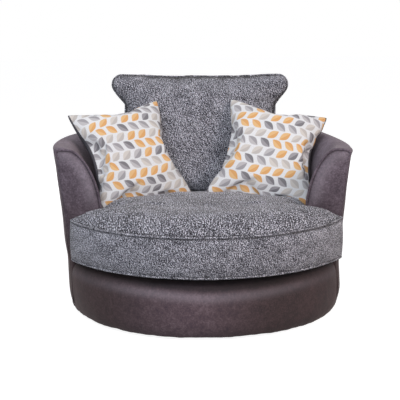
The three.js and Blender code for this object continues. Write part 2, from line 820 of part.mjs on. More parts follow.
// Two puffed sheets sewn edge to edge. place(u, v, side) puts a point of either sheet, u and v from -1 to 1.
function pillow(place) {
  const steps = pillowSteps;
  const points = [];
  const index = [];
  const rows = [-1, 1].map((side) => levels(-1, 1, steps).map((v, j) => levels(-1, 1, steps).map((u, i) => {
    const onSeam = i === 0 || j === 0 || i === steps || j === steps;
    points.push(place(u, v, onSeam ? 0 : side));
    return points.length - 1;
  })));
  for (const [k, sheet] of rows.entries()) {
    for (let j = 0; j < steps; j += 1) {
      for (let i = 0; i < steps; i += 1) {
        const [a, b, c, d] = [sheet[j][i], sheet[j][i + 1], sheet[j + 1][i + 1], sheet[j + 1][i]];
        const split = (2 * i < steps) === (2 * j < steps);
        const pair = split ? [a, b, d, b, c, d] : [a, b, c, a, c, d];
        index.push(...(k ? pair : pair.reverse()));
      }
    }
  }
  const made = new THREE.BufferGeometry().setFromPoints(points).setIndex(index);
  return facingOut(mergeVertices(made, 1e-3));
}

// Spreads grid lines towards the seam, where the sheet turns sharply.
function spread(t) {
  return Math.sin(quarter * t);
}

function backCushion(grow = 0) {
  const half = backCushionHeight / 2 + grow;
  const made = pillow((u, v, side) => {
    const [x0, z0] = [spread(u), spread(v)];
    const flare = THREE.MathUtils.smoothstep((z0 + 1) / 2, wingStartShare, wingEndShare);
    const corner = 1 - backCornerShare * Math.abs(x0 * z0) ** 8;
    const x = x0 * (lerp(backLowerHalf, backWingHalf, flare) + grow) * corner;
    const puff = ((1 - x0 ** 2) * (1 - z0 ** 2)) ** 0.4;
    const y = -side * (backThickness / 2 + grow) * puff - backBow * x0 ** 2;
    return new THREE.Vector3(x, y, z0 * half * corner);
  });
  made.rotateX(-radians(backLean));
  return made.translate(0, backCentreY, backCentreZ);
}

function scatterCushion({ hand, fromArm, fromBack, rise, turn, lean, roll }) {
  const half = scatterSide / 2;
  const made = pillow((u, v, side) => {
    const [x0, z0] = [spread(u), spread(v)];
    const x = x0 * half * (1 - scatterDrawIn * (1 - z0 ** 2));
    const z = z0 * half * (1 - scatterDrawIn * (1 - x0 ** 2));
    const puff = ((1 - x0 ** 2) * (1 - z0 ** 2)) ** scatterPuffShare;
    return new THREE.Vector3(x, (-side * scatterThickness * puff) / 2, z);
  });
  made.rotateY(radians(roll)).rotateX(-radians(lean)).rotateZ(radians(turn));
  return made.translate(hand * (tubRadius - fromArm), tubRadius - fromBack, upperWelt + rise);
}

// Everything behind the padded face of the tub, grown a little, as a tool to press cushions against.
function tubKeepOut() {
  const far = rimRadius + reach;
  return solidOf(sweep((angle) => [
    [tubRadius - softGap, 0],
    ...scoopCurve(angle, softGap),
    [far, rimHeightAt(angle) + softGap],
    [far, 0],
  ], wallFrom, wallTo)).intersect(slab(-wallFront, reach));
}

// What the chair is finished in.

const finishes = {
  ply: { color: 0xb98d5a, roughness: 0.75, metalness: 0 },
  zincSteel: { color: 0x8c8f92, roughness: 0.4, metalness: 0.9 },
  springSteel: { color: 0x54575b, roughness: 0.45, metalness: 0.9 },
  blackPlastic: { color: 0x17181a, roughness: 0.5, metalness: 0 },
  suede: { color: 0x473d40, roughness: 0.82, metalness: 0 },
  chenille: { color: 0x6d6e76, roughness: 0.95, metalness: 0 },
  printedCotton: { color: 0xd9d5cf, roughness: 0.9, metalness: 0 },
  lining: { color: 0x26262a, roughness: 0.95, metalness: 0 },
  felt: { color: 0x8f8c86, roughness: 1, metalness: 0 },
};

const chair = new THREE.Group();

function add(name, geometry, finish) {
  const mesh = new THREE.Mesh(geometry, new THREE.MeshStandardMaterial(finishes[finish]));
  mesh.name = name;
  chair.add(mesh);
  return mesh;
}

add('base_board', baseBoard(), 'ply');
glideAngles.forEach((angle, i) => {
  add(`floor_glide_${i + 1}`, around(glide(), baseBoardRadius - glideInset, angle), 'blackPlastic');
});
add('swivel_lower_plate', swivelPlate().translate(0, 0, baseBoardTop + fitGap), 'zincSteel');
add('swivel_ball_cage', ballCage(), 'zincSteel');
const upperPlate = add('swivel_upper_plate', swivelPlate(), 'zincSteel');
upperPlate.rotation.x = Math.PI;
upperPlate.position.z = frameBoardBottom - fitGap;
const plateUnderside = baseBoardTop + fitGap;
const kingNutFrom = frameBoardBottom + fitGap;
const kingShank = kingNutFrom + kingNutHeight - plateUnderside + fitGap;
const kingBolt = bolt(kingHeadRadius, kingHeadHeight, kingBoltRadius, kingShank, 6);
add('king_bolt', kingBolt.translate(0, 0, plateUnderside - fitGap - kingHeadHeight), 'zincSteel');
add('king_nut', kingNut(kingNutFrom), 'zincSteel');
plateBoltPlaces.forEach(([x, y], i) => {
  const plateBolt = bolt(boltHeadRadius, boltHeadHeight, boltRadius, boltLength, smallSegments);
  const upper = frameBoardBottom - fitGap - plateThickness - fitGap - boltHeadHeight;
  add(`upper_plate_bolt_${i + 1}`, plateBolt.clone().translate(x, y, upper), 'zincSteel');
  const lower = plateUnderside + plateThickness + fitGap + boltHeadHeight;
  add(`lower_plate_bolt_${i + 1}`, plateBolt.rotateX(Math.PI).translate(x, y, lower), 'zincSteel');
});

add('frame_board', frameBoard(), 'ply');
postAngles.forEach((angle, i) => add(`front_post_${i + 1}`, around(post(), postRadius, angle), 'ply'));
add('seat_ring', seatRing(), 'ply');
ribAngles.forEach((angle, i) => add(`wall_rib_${i + 1}`, rib(angle), 'ply'));
add('arm_board_left', armBoard(-1), 'ply');
add('arm_board_right', armBoard(1), 'ply');
add('top_rail', topRail(), 'ply');
add('front_hoop_board', frontHoop(), 'ply');
springEnds.forEach((end, i) => add(`seat_spring_${i + 1}`, sinuousSpring(end), 'springSteel'));
add('deck_pad', deckPad(), 'felt');
add('platform_cloth', platformCloth(), 'lining');
add('dust_cover', dustCover(), 'lining');

add('front_border', frontBorder(), 'suede');
add('outer_cover', wallBehindFacings(outerCoverSection), 'suede');
add('inner_wall_pad', wallBehindFacings(innerPadSection), 'suede');
for (const [side, hand] of [[-1, 'left'], [1, 'right']]) {
  add(`arm_facing_${hand}`, armFacing(side), 'suede');
  add(`arm_piping_${hand}`, facingPiping(side), 'suede');
}

add('seat_cushion', seatCushion(), 'chenille');
add('seat_piping_upper', seatPiping(upperWelt), 'chenille');
add('seat_piping_lower', seatPiping(lowerWelt), 'chenille');
const seatKeepOut = solidOf(seatCushion(softGap));
const backKeepOut = solidOf(backCushion(softGap));
const wallKeepOut = tubKeepOut();
const backBody = largestPiece(cut(solidOf(backCushion()), seatKeepOut, wallKeepOut));
add('back_cushion', geometryOf(backBody), 'chenille');
for (const [name, place] of Object.entries(scatters)) {
  const body = cut(solidOf(scatterCushion(place)), seatKeepOut, wallKeepOut, backKeepOut);
  add(name, geometryOf(largestPiece(body)), 'printedCotton');
}

export default chair;
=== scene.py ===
"""Finishes for a round swivel cuddle chair: a suede drum and tub wall, a boxed chenille seat cushion, a
winged chenille back cushion and two printed scatter cushions, over a frame of plywood, springs and a
turntable. Metres throughout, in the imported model's frame: +Z up, the front faces -Y, and the origin lies
under the swivel.
"""

import json
import math

import bmesh
import bpy
import numpy as np
from mathutils import Matrix, Vector, noise
from mathutils.bvhtree import BVHTree


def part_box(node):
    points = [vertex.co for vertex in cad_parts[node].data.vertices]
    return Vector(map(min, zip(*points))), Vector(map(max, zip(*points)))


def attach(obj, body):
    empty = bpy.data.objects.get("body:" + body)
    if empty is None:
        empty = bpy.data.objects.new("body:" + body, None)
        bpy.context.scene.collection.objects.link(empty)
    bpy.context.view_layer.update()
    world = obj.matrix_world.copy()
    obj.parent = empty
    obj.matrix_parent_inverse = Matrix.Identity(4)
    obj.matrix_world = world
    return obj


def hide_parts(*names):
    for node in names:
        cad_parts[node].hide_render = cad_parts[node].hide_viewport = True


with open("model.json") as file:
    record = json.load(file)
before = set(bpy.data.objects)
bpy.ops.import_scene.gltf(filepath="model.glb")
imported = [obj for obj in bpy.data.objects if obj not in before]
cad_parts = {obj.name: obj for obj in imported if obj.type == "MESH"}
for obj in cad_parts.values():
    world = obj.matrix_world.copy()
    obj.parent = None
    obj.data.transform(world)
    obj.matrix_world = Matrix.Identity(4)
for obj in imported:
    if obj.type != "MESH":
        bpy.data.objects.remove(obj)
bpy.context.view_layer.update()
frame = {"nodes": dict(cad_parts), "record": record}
mm = 0.001

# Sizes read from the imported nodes.

BOARD_BOTTOM, BOARD_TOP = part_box("frame_board")[0].z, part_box("frame_board")[1].z
BOARD_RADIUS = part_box("frame_board")[1].x
DECK_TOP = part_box("platform_cloth")[1].z
DECK_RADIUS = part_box("platform_cloth")[1].x
PAD_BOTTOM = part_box("deck_pad")[0].z
DRUM_RADIUS = -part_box("front_border")[0].y
BORDER_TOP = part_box("front_border")[1].z
FLOOR_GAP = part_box("outer_cover")[0].z
BACK_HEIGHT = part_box("inner_wall_pad")[1].z
FACING_BOTTOM, ARM_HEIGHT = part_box("arm_facing_left")[0].z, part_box("arm_facing_left")[1].z
FACING_BACK = -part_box("arm_facing_left")[1].y
WALL_FRONT = -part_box("outer_cover")[0].y
SEAT_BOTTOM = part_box("seat_cushion")[0].z
LOWER_WELT = sum(corner.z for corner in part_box("seat_piping_lower")) / 2
UPPER_WELT = sum(corner.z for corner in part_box("seat_piping_upper")) / 2
COVER_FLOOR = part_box("dust_cover")[0].z
COVER_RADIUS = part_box("dust_cover")[1].x

# Sizes of the upholstery, which the part's source names in the same way.

FIT_GAP = 0.3 * mm
ARM_FRONT = 190 * mm
LIP_RADIUS = DRUM_RADIUS - 33 * mm
LIP_REACH = 25 * mm
FLANGE_RADIUS = LIP_RADIUS - LIP_REACH - 16 * mm
BULGE_HEIGHT = 113 * mm
WAIST_HEIGHT = 237 * mm
WAIST_RADIUS = DRUM_RADIUS - 1 * mm
RIM_RADIUS = WAIST_RADIUS + 50 * mm
BACK_PULL_IN = 16 * mm
RIM_RISE = 1.9
COVER_THICKNESS = 5 * mm
TUB_RADIUS = WAIST_RADIUS - 115 * mm
PAD_THICKNESS = 45 * mm
SCOOP_HEIGHT = 430 * mm
SCOOP_POWER = 1.75
RIM_TOP_WIDTH = 52 * mm
LIP_DROP = 18 * mm
SHOULDER_REACH, SHOULDER_DROP = 30 * mm, 15 * mm
BORDER_ROLL_HEIGHT = 60 * mm
BORDER_ROLL_REACH = 46 * mm
HOOP_OUTER = DRUM_RADIUS - 49.5 * mm
FACING_CROWN = 3.5 * mm
FACING_SWELL = 7 * mm  # more, beside the inner edge
PIPING_RADIUS = 4 * mm
PIPING_NEST = 6.5 * mm
FACING_ANGLE = -math.asin(ARM_FRONT / RIM_RADIUS)

SEAT_FRONT_RADIUS = DRUM_RADIUS + 19 * mm
SEAT_INNER_RADIUS = TUB_RADIUS - 9 * mm
EAR_BACK = ARM_FRONT + 13 * mm
EAR_CORNER = 26 * mm
EAR_ROOT = 12 * mm

BACK_HALF_BODY = 334 * mm
BACK_HALF_WING = 391 * mm
BACK_SLIDE = -8 * mm  # the loose pillow lies a little to one side
BACK_CUSHION_HEIGHT = 535 * mm
BACK_BOW = 55 * mm
BACK_LEAN = math.radians(13)
BACK_MIDDLE = Vector((0, TUB_RADIUS - 97 * mm, UPPER_WELT + 274 * mm))
BACK_ROLL = math.radians(0.45)

SCATTER_SIDE = 430 * mm
# Where each scatter cushion stands, and how its cloth is pulled: the number of a point on its seam, how many
# millimetres that point goes to the right and up, and how far round it the cloth follows.
SCATTERS = {
    "scatter_left": dict(hand=-1, from_arm=143 * mm, from_back=379 * mm, rise=222 * mm,
                         turn=31, lean=31, roll=-5,
                         shape=((90, 15, 13, 100 * mm), (22, 0, -16, 170 * mm), (45, 13, -7, 80 * mm),
                                (158, 8, 0, 80 * mm), (135, -7, 8, 60 * mm))),
    "scatter_right": dict(hand=1, from_arm=164 * mm, from_back=355 * mm, rise=216 * mm,
                          turn=-5, lean=33, roll=10,
                          shape=((135, -4, 19, 100 * mm), (70, -15, 0, 90 * mm), (22, 0, -11, 170 * mm),
                                 (0, -26, -8, 100 * mm), (105, 0, 4, 55 * mm))),
}

# Camera and studio

# The lens and its place were solved from the circles of the drum, the welts and the rim.
IMAGE_SIDE_PX = 400
FOCAL_PX = 1012
SENSOR = 36.0
CAMERA_HEIGHT = 1.183
CAMERA_DISTANCE = 4.2
CAMERA_SIDE_STEP = -13 * mm
CAMERA_AZIMUTH = math.radians(-0.37)
CAMERA_PITCH = math.radians(9.98)
CAMERA_ROLL = math.radians(-0.5)

FILL_STRENGTH = 0.30  # the pale room's own light on the chair
FLOOR_HALF_SIDE = 30.0
FLOOR_GLOW = 0.90  # added for the eye alone, so that the pale floor shows as white paper


def hex_colour(value):
    """Linear RGBA of an sRGB hex colour such as "8c8f92"."""
    parts = [int(value[i:i + 2], 16) / 255 for i in (0, 2, 4)]
    return tuple(c / 12.92 if c <= 0.04045 else ((c + 0.055) / 1.055) ** 2.4 for c in parts) + (1.0,)


def add(tree, kind, links=(), stops=(), **settings):
    """Adds a node. links maps an input's name or number to a value or to another node's output, and stops
    are the places and sRGB hex colours of a colour ramp."""
    node = tree.nodes.new(kind)
    for name, value in settings.items():
        setattr(node, name, value)
    for name, value in dict(links).items():
        if isinstance(value, bpy.types.NodeSocket):
            tree.links.new(value, node.inputs[name])
        else:
            node.inputs[name].default_value = value
    for _ in stops[2:]:
        node.color_ramp.elements.new(0.5)
    for element, (place, colour) in zip(node.color_ramp.elements if stops else (), stops):
        element.position = place
        element.color = hex_colour(colour)
    return node


def make_camera():
    """The camera of the photo."""
    data = bpy.data.cameras.new("studio_camera")
    data.sensor_width = SENSOR
    data.lens = FOCAL_PX / IMAGE_SIDE_PX * SENSOR
    camera = bpy.data.objects.new("studio_camera", data)
    bpy.context.scene.collection.objects.link(camera)
    away = Matrix.Rotation(CAMERA_AZIMUTH, 4, "Z")
    down = Matrix.Rotation(math.pi / 2 - CAMERA_PITCH, 4, "X")
    roll = Matrix.Rotation(CAMERA_ROLL, 4, "Z")
    place = away @ Vector((CAMERA_SIDE_STEP, -CAMERA_DISTANCE, CAMERA_HEIGHT))
    camera.matrix_world = Matrix.Translation(place) @ away @ down @ roll
    bpy.context.scene.camera = camera


def seen_directly(tree):
    """1 for rays from the camera, and for those that come to it off metal or glass."""
    path = add(tree, "ShaderNodeLightPath")
    glossy = add(tree, "ShaderNodeMath", {0: path.outputs["Is Camera Ray"], 1: path.outputs["Is Glossy Ray"]},
                 operation="MAXIMUM")
    return add(tree, "ShaderNodeMath", {0: glossy.outputs[0], 1: path.outputs["Is Transmission Ray"]},
               operation="MAXIMUM").outputs[0]


def make_world():
    """A room that is white to the eye and lights the chair softly."""
    world = bpy.data.worlds.new("white_studio")
    bpy.context.scene.world = world
    world.use_nodes = True
    tree = world.node_tree
    tree.nodes.clear()
    fill = add(tree, "ShaderNodeBackground", {"Color": hex_colour("f1f1f4"), "Strength": FILL_STRENGTH})
    white = add(tree, "ShaderNodeBackground", {"Color": (1, 1, 1, 1), "Strength": 1.0})
    mix = add(tree, "ShaderNodeMixShader", {0: seen_directly(tree), 1: fill.outputs[0], 2: white.outputs[0]})
    add(tree, "ShaderNodeOutputWorld", {"Surface": mix.outputs[0]})


def make_floor():
    """A pale floor that takes the chair's shadow and otherwise shows as white."""
    half = FLOOR_HALF_SIDE
    mesh = bpy.data.meshes.new("studio_floor")
    mesh.from_pydata([(-half, -half, 0), (half, -half, 0), (half, half, 0), (-half, half, 0)], [],
                     [(0, 1, 2, 3)])
    floor = bpy.data.objects.new("studio_floor", mesh)
    bpy.context.scene.collection.objects.link(floor)
    paint = bpy.data.materials.new("white_studio_floor")
    paint.use_nodes = True
    tree = paint.node_tree
    tree.nodes.clear()
    matte = add(tree, "ShaderNodeBsdfDiffuse", {"Color": hex_colour("a2a2a4")})
    glow = add(tree, "ShaderNodeMath", {0: seen_directly(tree), 1: FLOOR_GLOW}, operation="MULTIPLY")
    white = add(tree, "ShaderNodeEmission", {"Color": (1, 1, 1, 1), "Strength": glow.outputs[0]})
    both = add(tree, "ShaderNodeAddShader", {0: matte.outputs[0], 1: white.outputs[0]})
    add(tree, "ShaderNodeOutputMaterial", {"Surface": both.outputs[0]})
    mesh.materials.append(paint)


def softbox(name, place, aim, size, watts, colour="ffffff"):
    """A rectangular lamp of one size in metres, turned towards its aim."""
    data = bpy.data.lights.new(name, "AREA")
    data.shape = "RECTANGLE"
    data.size, data.size_y = size
    data.energy = watts
    data.color = hex_colour(colour)[:3]
    lamp = bpy.data.objects.new(name, data)
    bpy.context.scene.collection.objects.link(lamp)
    lamp.location = place
    lamp.rotation_euler = (Vector(aim) - Vector(place)).to_track_quat("-Z", "Y").to_euler()


def make_lights():
    """Five softboxes round the chair, as in a catalogue studio."""
    middle = (0, 0, 0.4)
    softbox("key_softbox", (-1.3, -3.2, 2.8), middle, (1.9, 1.2), 84, "f7faff")
    softbox("side_softbox", (2.7, -2.6, 2.3), middle, (1.4, 1.2), 70, "ffeadd")
    softbox("front_softbox", (0.0, -4.8, 1.5), middle, (2.0, 1.2), 36)
    softbox("top_softbox", (0.0, -0.3, 3.3), middle, (2.2, 1.8), 22)
    softbox("rear_softbox", (0.0, 4.6, 0.95), middle, (2.4, 1.0), 75)


make_camera()
make_world()
make_floor()
make_lights()
bpy.context.scene.view_settings.view_transform = "Standard"

# Materials


def new_material(name):
    """An empty material and its node tree."""
    material = bpy.data.materials.new(name)
    material.use_nodes = True
    tree = material.node_tree
    tree.nodes.clear()
    return material, tree


def finish_surface(material, tree, colour, roughness, height, bump, **fixed):
    """Ends a material: colour and roughness may be linked, height drives bump of a depth in metres."""
    shader = add(tree, "ShaderNodeBsdfPrincipled", {"Base Color": colour, "Roughness": roughness, **fixed})
    relief = add(tree, "ShaderNodeBump", {"Height": height, "Distance": bump, "Strength": 1.0})
    tree.links.new(relief.outputs["Normal"], shader.inputs["Normal"])
    add(tree, "ShaderNodeOutputMaterial", {"Surface": shader.outputs[0]})
    return material


SUEDE_HIGHLIGHT_SHARE = 0.35  # how far a full painted highlight turns the colour towards its palest grey
CHENILLE_HIGHLIGHT_SHARE = 0.085  # how far a full painted highlight climbs the ramp from charcoal to white


def apply_painted_shade(tree, colour, depth):
    """Darkens a colour with painted shade where a piece marks it: beside cords and in folds that keep the
    light out, under the seat's overhang and low on the drum.
    """
    painted_shade = add(tree, "ShaderNodeAttribute", attribute_name="painted_shade").outputs["Fac"]
    share = add(tree, "ShaderNodeMath", {0: painted_shade, 1: depth}, operation="MULTIPLY")
    return add(tree, "ShaderNodeMix", {0: share.outputs[0], 6: colour, 7: hex_colour("0c0b0e")},
               data_type="RGBA").outputs[2]


def suede():
    """Brushed microfibre faux suede: a short nap that lies this way and that, so it looks cloudy and marked.
    Light and shade are painted into its colour: it is painted greyer and lighter up on the arms and darker
    and browner at the drum's sides, a piece's highlight mark paints it pale, and its shade mark darkens it."""
    material, tree = new_material("brushed_microfibre_suede")
    where = add(tree, "ShaderNodeTexCoord").outputs["Object"]
    # Clouding of 90 mm, brush marks of 22 mm, hand marks of 7 mm and nap drawn at 2.5 mm, coarser than real.
    cloud, brush, marks, nap_and_highlight = [
        add(tree, "ShaderNodeTexNoise",
            {"Vector": where, "Scale": 1 / size, "Detail": detail, "Roughness": rough})
        for size, detail, rough in ((90 * mm, 3.0, 0.55), (22 * mm, 3.0, 0.6), (7 * mm, 2.0, 0.7),
                                    (2.5 * mm, 2.0, 0.6))]
    large = add(tree, "ShaderNodeMix", {0: 0.5, 2: cloud.outputs["Fac"], 3: brush.outputs["Fac"]},
                data_type="FLOAT")
    both = add(tree, "ShaderNodeMix", {0: 0.45, 2: large.outputs[0], 3: marks.outputs["Fac"]},
               data_type="FLOAT")
    drum_front, drum_flank_shaded, arms_lit = [
        add(tree, "ShaderNodeValToRGB", {"Fac": both.outputs[0]}, stops=list(zip((0.38, 0.50, 0.62), tones)))
        for tones in (("413540", "57484f", "6c5d65"), ("2a2123", "3b2f31", "4c3d3f"),
                      ("413943", "5a505b", "746a77"))]
    # Painted shade darkens the drum from 70 mm left of the middle outwards, and the arms' painted lighter
    # grey takes over from 160 to 620 mm up.
    place = add(tree, "ShaderNodeSeparateXYZ", {0: where})
    aside = add(tree, "ShaderNodeMath", {0: place.outputs["X"], 1: 70 * mm}, operation="ADD")
    width = add(tree, "ShaderNodeMath", {0: aside.outputs[0]}, operation="ABSOLUTE")
    painted_flank_shade = add(tree, "ShaderNodeMapRange", {0: width.outputs[0], 1: 0.0, 2: 360 * mm, 3: 0.0, 4: 1.0},
                interpolation_type="SMOOTHSTEP")
    drum = add(tree, "ShaderNodeMix",
               {0: painted_flank_shade.outputs[0], 6: drum_front.outputs[0], 7: drum_flank_shaded.outputs[0]}, data_type="RGBA")
    painted_arm_light = add(tree, "ShaderNodeMapRange", {0: place.outputs["Z"], 1: 160 * mm, 2: 620 * mm, 3: 0.0, 4: 1.0},
                interpolation_type="SMOOTHSTEP")
    ground = add(tree, "ShaderNodeMix", {0: painted_arm_light.outputs[0], 6: drum.outputs[2], 7: arms_lit.outputs[0]},
                 data_type="RGBA")
    fine = add(tree, "ShaderNodeValToRGB", {"Fac": nap_and_highlight.outputs["Fac"]},
               stops=[(0.30, "bdbdbd"), (0.70, "ffffff")])
    colour = add(tree, "ShaderNodeMix", {0: 0.5, 6: ground.outputs[2], 7: fine.outputs[0]}, data_type="RGBA",
                 blend_type="MULTIPLY")
    rough = add(tree, "ShaderNodeMapRange", {0: both.outputs[0], 1: 0.34, 2: 0.66, 3: 0.72, 4: 0.9})
    # Painted highlight: where a piece marks one, the colour turns towards a pale grey.
    painted_highlight = add(tree, "ShaderNodeAttribute", attribute_name="nap_and_highlight").outputs["Fac"]
    highlight_share = add(tree, "ShaderNodeMath", {0: painted_highlight, 1: SUEDE_HIGHLIGHT_SHARE}, operation="MULTIPLY")
    lit = add(tree, "ShaderNodeMix",
              {0: highlight_share.outputs[0], 6: colour.outputs[2], 7: hex_colour("b0a9b5")}, data_type="RGBA")
    return finish_surface(material, tree, apply_painted_shade(tree, lit.outputs[2], 0.8), rough.outputs[0],
                          marks.outputs["Fac"], 0.8 * mm,
                          **{"Sheen Weight": 0.16, "Sheen Roughness": 0.45,
                             "Sheen Tint": hex_colour("b3a09c"), "Specular IOR Level": 0.25})


def chenille():
    """Salt-and-pepper chenille twill: fluffy wefts of charcoal, mid grey and near white that climb across the
    cloth at a slant, so it looks flecked and deep."""
    material, tree = new_material("salt_and_pepper_chenille")
    weave = add(tree, "ShaderNodeUVMap", uv_map="weave").outputs["UV"]
    # Each float is drawn 2.5 mm wide and 5.2 mm long, coarser than the yarn, with slubs of 22 mm along the
    # warp and tufts that lie alike over 60 mm.
    slant = add(tree, "ShaderNodeMapping", {"Vector": weave, "Rotation": (0, 0, math.radians(24))})
    floats = add(tree, "ShaderNodeMapping",
                 {"Vector": slant.outputs[0], "Scale": (1 / (2.5 * mm), 1 / (5.2 * mm), 1)})
    fleck = add(tree, "ShaderNodeTexNoise", {"Vector": floats.outputs[0], "Scale": 1.0, "Detail": 1.0,
                                             "Roughness": 0.6}, noise_dimensions="2D")
    thread = add(tree, "ShaderNodeMapping", {"Vector": weave, "Scale": (1 / (2.6 * mm), 1 / (22 * mm), 1)})
    slub = add(tree, "ShaderNodeTexNoise", {"Vector": thread.outputs[0], "Scale": 1.0, "Detail": 1.0},
               noise_dimensions="2D")
    wide = add(tree, "ShaderNodeTexNoise", {"Vector": weave, "Scale": 1 / (60 * mm), "Detail": 2.0},
               noise_dimensions="2D")
    mixed = add(tree, "ShaderNodeMix", {0: 0.30, 2: fleck.outputs["Fac"], 3: slub.outputs["Fac"]},
                data_type="FLOAT")
    shade = add(tree, "ShaderNodeMix", {0: 0.10, 2: mixed.outputs[0], 3: wide.outputs["Fac"]},
                data_type="FLOAT")
    # Painted highlight: where a piece marks one, the colour climbs the ramp towards white; painted shade
    # darkens it where a piece marks shade.
    painted_highlight = add(tree, "ShaderNodeAttribute", attribute_name="nap_and_highlight").outputs["Fac"]
    fleck_and_highlight = add(tree, "ShaderNodeMath", {0: painted_highlight, 1: CHENILLE_HIGHLIGHT_SHARE, 2: shade.outputs[0]},
                 operation="MULTIPLY_ADD")
    colour = add(tree, "ShaderNodeValToRGB", {"Fac": fleck_and_highlight.outputs[0]},
                 stops=[(0.39, "131217"), (0.455, "34343b"), (0.505, "5a5b64"), (0.555, "868792"),
                        (0.62, "cecfda")])
    return finish_surface(material, tree, apply_painted_shade(tree, colour.outputs[0], 0.85), 0.92,
                          mixed.outputs[0], 1.6 * mm,
                          **{"Sheen Weight": 0.12, "Sheen Roughness": 0.6, "Specular IOR Level": 0.2})


def plain_cloth(name, shade, colour, thread):
    """A plain cloth of one colour, darker in its shade between threads that lie thread metres apart."""
    material, tree = new_material(name)
    place = add(tree, "ShaderNodeTexCoord").outputs["Object"]
    grain = add(tree, "ShaderNodeTexNoise",
                {"Vector": place, "Scale": 1 / thread, "Detail": 3.0, "Roughness": 0.7})
    tone = add(tree, "ShaderNodeValToRGB", {"Fac": grain.outputs["Fac"]},
               stops=[(0.35, shade), (0.65, colour)])
    return finish_surface(material, tree, tone.outputs[0], 0.93, grain.outputs["Fac"], 0.4 * mm,
                          **{"Specular IOR Level": 0.15})


def leaf_print():
    """Screen-printed cotton: rows of split leaves that lean one way and then the other, in greys, stone and
    ochre on off-white. The cloth is a slubby plain weave, so the ink looks a little worn and the ground
    flecked."""
    material, tree = new_material("leaf_printed_cotton")
    cloth = add(tree, "ShaderNodeUVMap", uv_map="weave").outputs["UV"]
    cell_wide, cell_high = 50 * mm, 37 * mm
    leaf_half_long, leaf_half_wide, lean = 27.5 * mm, 15.2 * mm, math.radians(38)
    ink_edge, split_edge = 1.2 * mm, 0.6 * mm
    clear_of_zero = 2.0  # metres, which keep every cell's number positive
    place = add(tree, "ShaderNodeSeparateXYZ", {0: cloth})
    value = {"cloth x": place.outputs["X"], "cloth y": place.outputs["Y"]}
    # Each step names its result, its sum, and its two terms: rows and columns of cells, a place within a
    # cell, and the same place along and across the leaf that leans in it.
    for result, operation, first, second in (
            ("from below", "ADD", "cloth y", clear_of_zero),
            ("down", "DIVIDE", "from below", cell_high),
            ("row", "FLOOR", "down", 0.0),
            ("odd", "PINGPONG", "row", 1.0),
            ("from left", "ADD", "cloth x", clear_of_zero),
            ("cells over", "DIVIDE", "from left", cell_wide),
            ("shift", "MULTIPLY", "odd", 0.5),
            ("across", "ADD", "cells over", "shift"),
            ("column", "FLOOR", "across", 0.0),
            ("share x", "SUBTRACT", "across", "column"),
            ("middle x", "SUBTRACT", "share x", 0.5),
            ("x", "MULTIPLY", "middle x", cell_wide),
            ("share y", "SUBTRACT", "down", "row"),
            ("middle y", "SUBTRACT", "share y", 0.5),
            ("y", "MULTIPLY", "middle y", cell_high),
            ("twice odd", "MULTIPLY", "odd", 2.0),
            ("way", "SUBTRACT", "twice odd", 1.0),
            ("tilted", "MULTIPLY", "y", "way"),
            ("x along", "MULTIPLY", "x", math.cos(lean)),
            ("y along", "MULTIPLY", "tilted", math.sin(lean)),
            ("along", "ADD", "x along", "y along"),
            ("y aside", "MULTIPLY", "tilted", math.cos(lean)),
            ("x aside", "MULTIPLY", "x", math.sin(lean)),
            ("aside", "SUBTRACT", "y aside", "x aside"),
            ("length share", "DIVIDE", "along", leaf_half_long),
            ("length size", "ABSOLUTE", "length share", 0.0),
            ("narrowing", "POWER", "length size", 1.8),
            ("taper", "SUBTRACT", 1.0, "narrowing"),
            ("half width", "MULTIPLY", "taper", leaf_half_wide),
            ("aside size", "ABSOLUTE", "aside", 0.0),
            ("inside", "SUBTRACT", "half width", "aside size"),
            ("colour row", "ADD", "row", 0.37)):
        terms = {0: value.get(first, first), 1: value.get(second, second)}
        value[result] = add(tree, "ShaderNodeMath", terms, operation=operation).outputs[0]
    leaf = add(tree, "ShaderNodeMapRange",
               {0: value["inside"], 1: 0.0, 2: ink_edge, 3: 0.0, 4: 1.0}).outputs[0]
    half = add(tree, "ShaderNodeMapRange",
               {0: value["aside"], 1: -split_edge, 2: split_edge, 3: 0.0, 4: 1.0}).outputs[0]
    cell = add(tree, "ShaderNodeCombineXYZ", {0: value["column"], 1: value["colour row"]})
    pick = add(tree, "ShaderNodeTexWhiteNoise", {"Vector": cell.outputs[0]},
               noise_dimensions="2D").outputs["Value"]
    # Charcoal, ochre, grey and stone inks, each in a full and a pale half.
    full, pale = [add(tree, "ShaderNodeValToRGB", {"Fac": pick},
                      stops=list(zip((0.0, 0.26, 0.56, 0.80), inks)))
                  for inks in (("636167", "c8924c", "8b898e", "aca7a4"),
                               ("88868c", "d0a66c", "aaa8ac", "bfbab5"))]
    for inks in (full, pale):
        inks.color_ramp.interpolation = "CONSTANT"
    ink = add(tree, "ShaderNodeMix", {0: half, 6: full.outputs[0], 7: pale.outputs[0]}, data_type="RGBA")
    threads = add(tree, "ShaderNodeMapping", {"Vector": cloth, "Scale": (1 / (1.4 * mm), 1 / (3.4 * mm), 1)})
    slub = add(tree, "ShaderNodeTexNoise", {"Vector": threads.outputs[0], "Scale": 1.0, "Detail": 3.0},
               noise_dimensions="2D")
    ground = add(tree, "ShaderNodeValToRGB", {"Fac": slub.outputs["Fac"]},
                 stops=[(0.32, "c1c4c8"), (0.62, "d8dade")])
    printed = add(tree, "ShaderNodeMix", {0: leaf, 6: ground.outputs[0], 7: ink.outputs[2]}, data_type="RGBA")
    worn = add(tree, "ShaderNodeMix", {0: 0.10, 6: printed.outputs[2], 7: ground.outputs[0]},
               data_type="RGBA")
    return finish_surface(material, tree, worn.outputs[2], 0.9, slub.outputs["Fac"], 0.4 * mm,
                          **{"Specular IOR Level": 0.2})


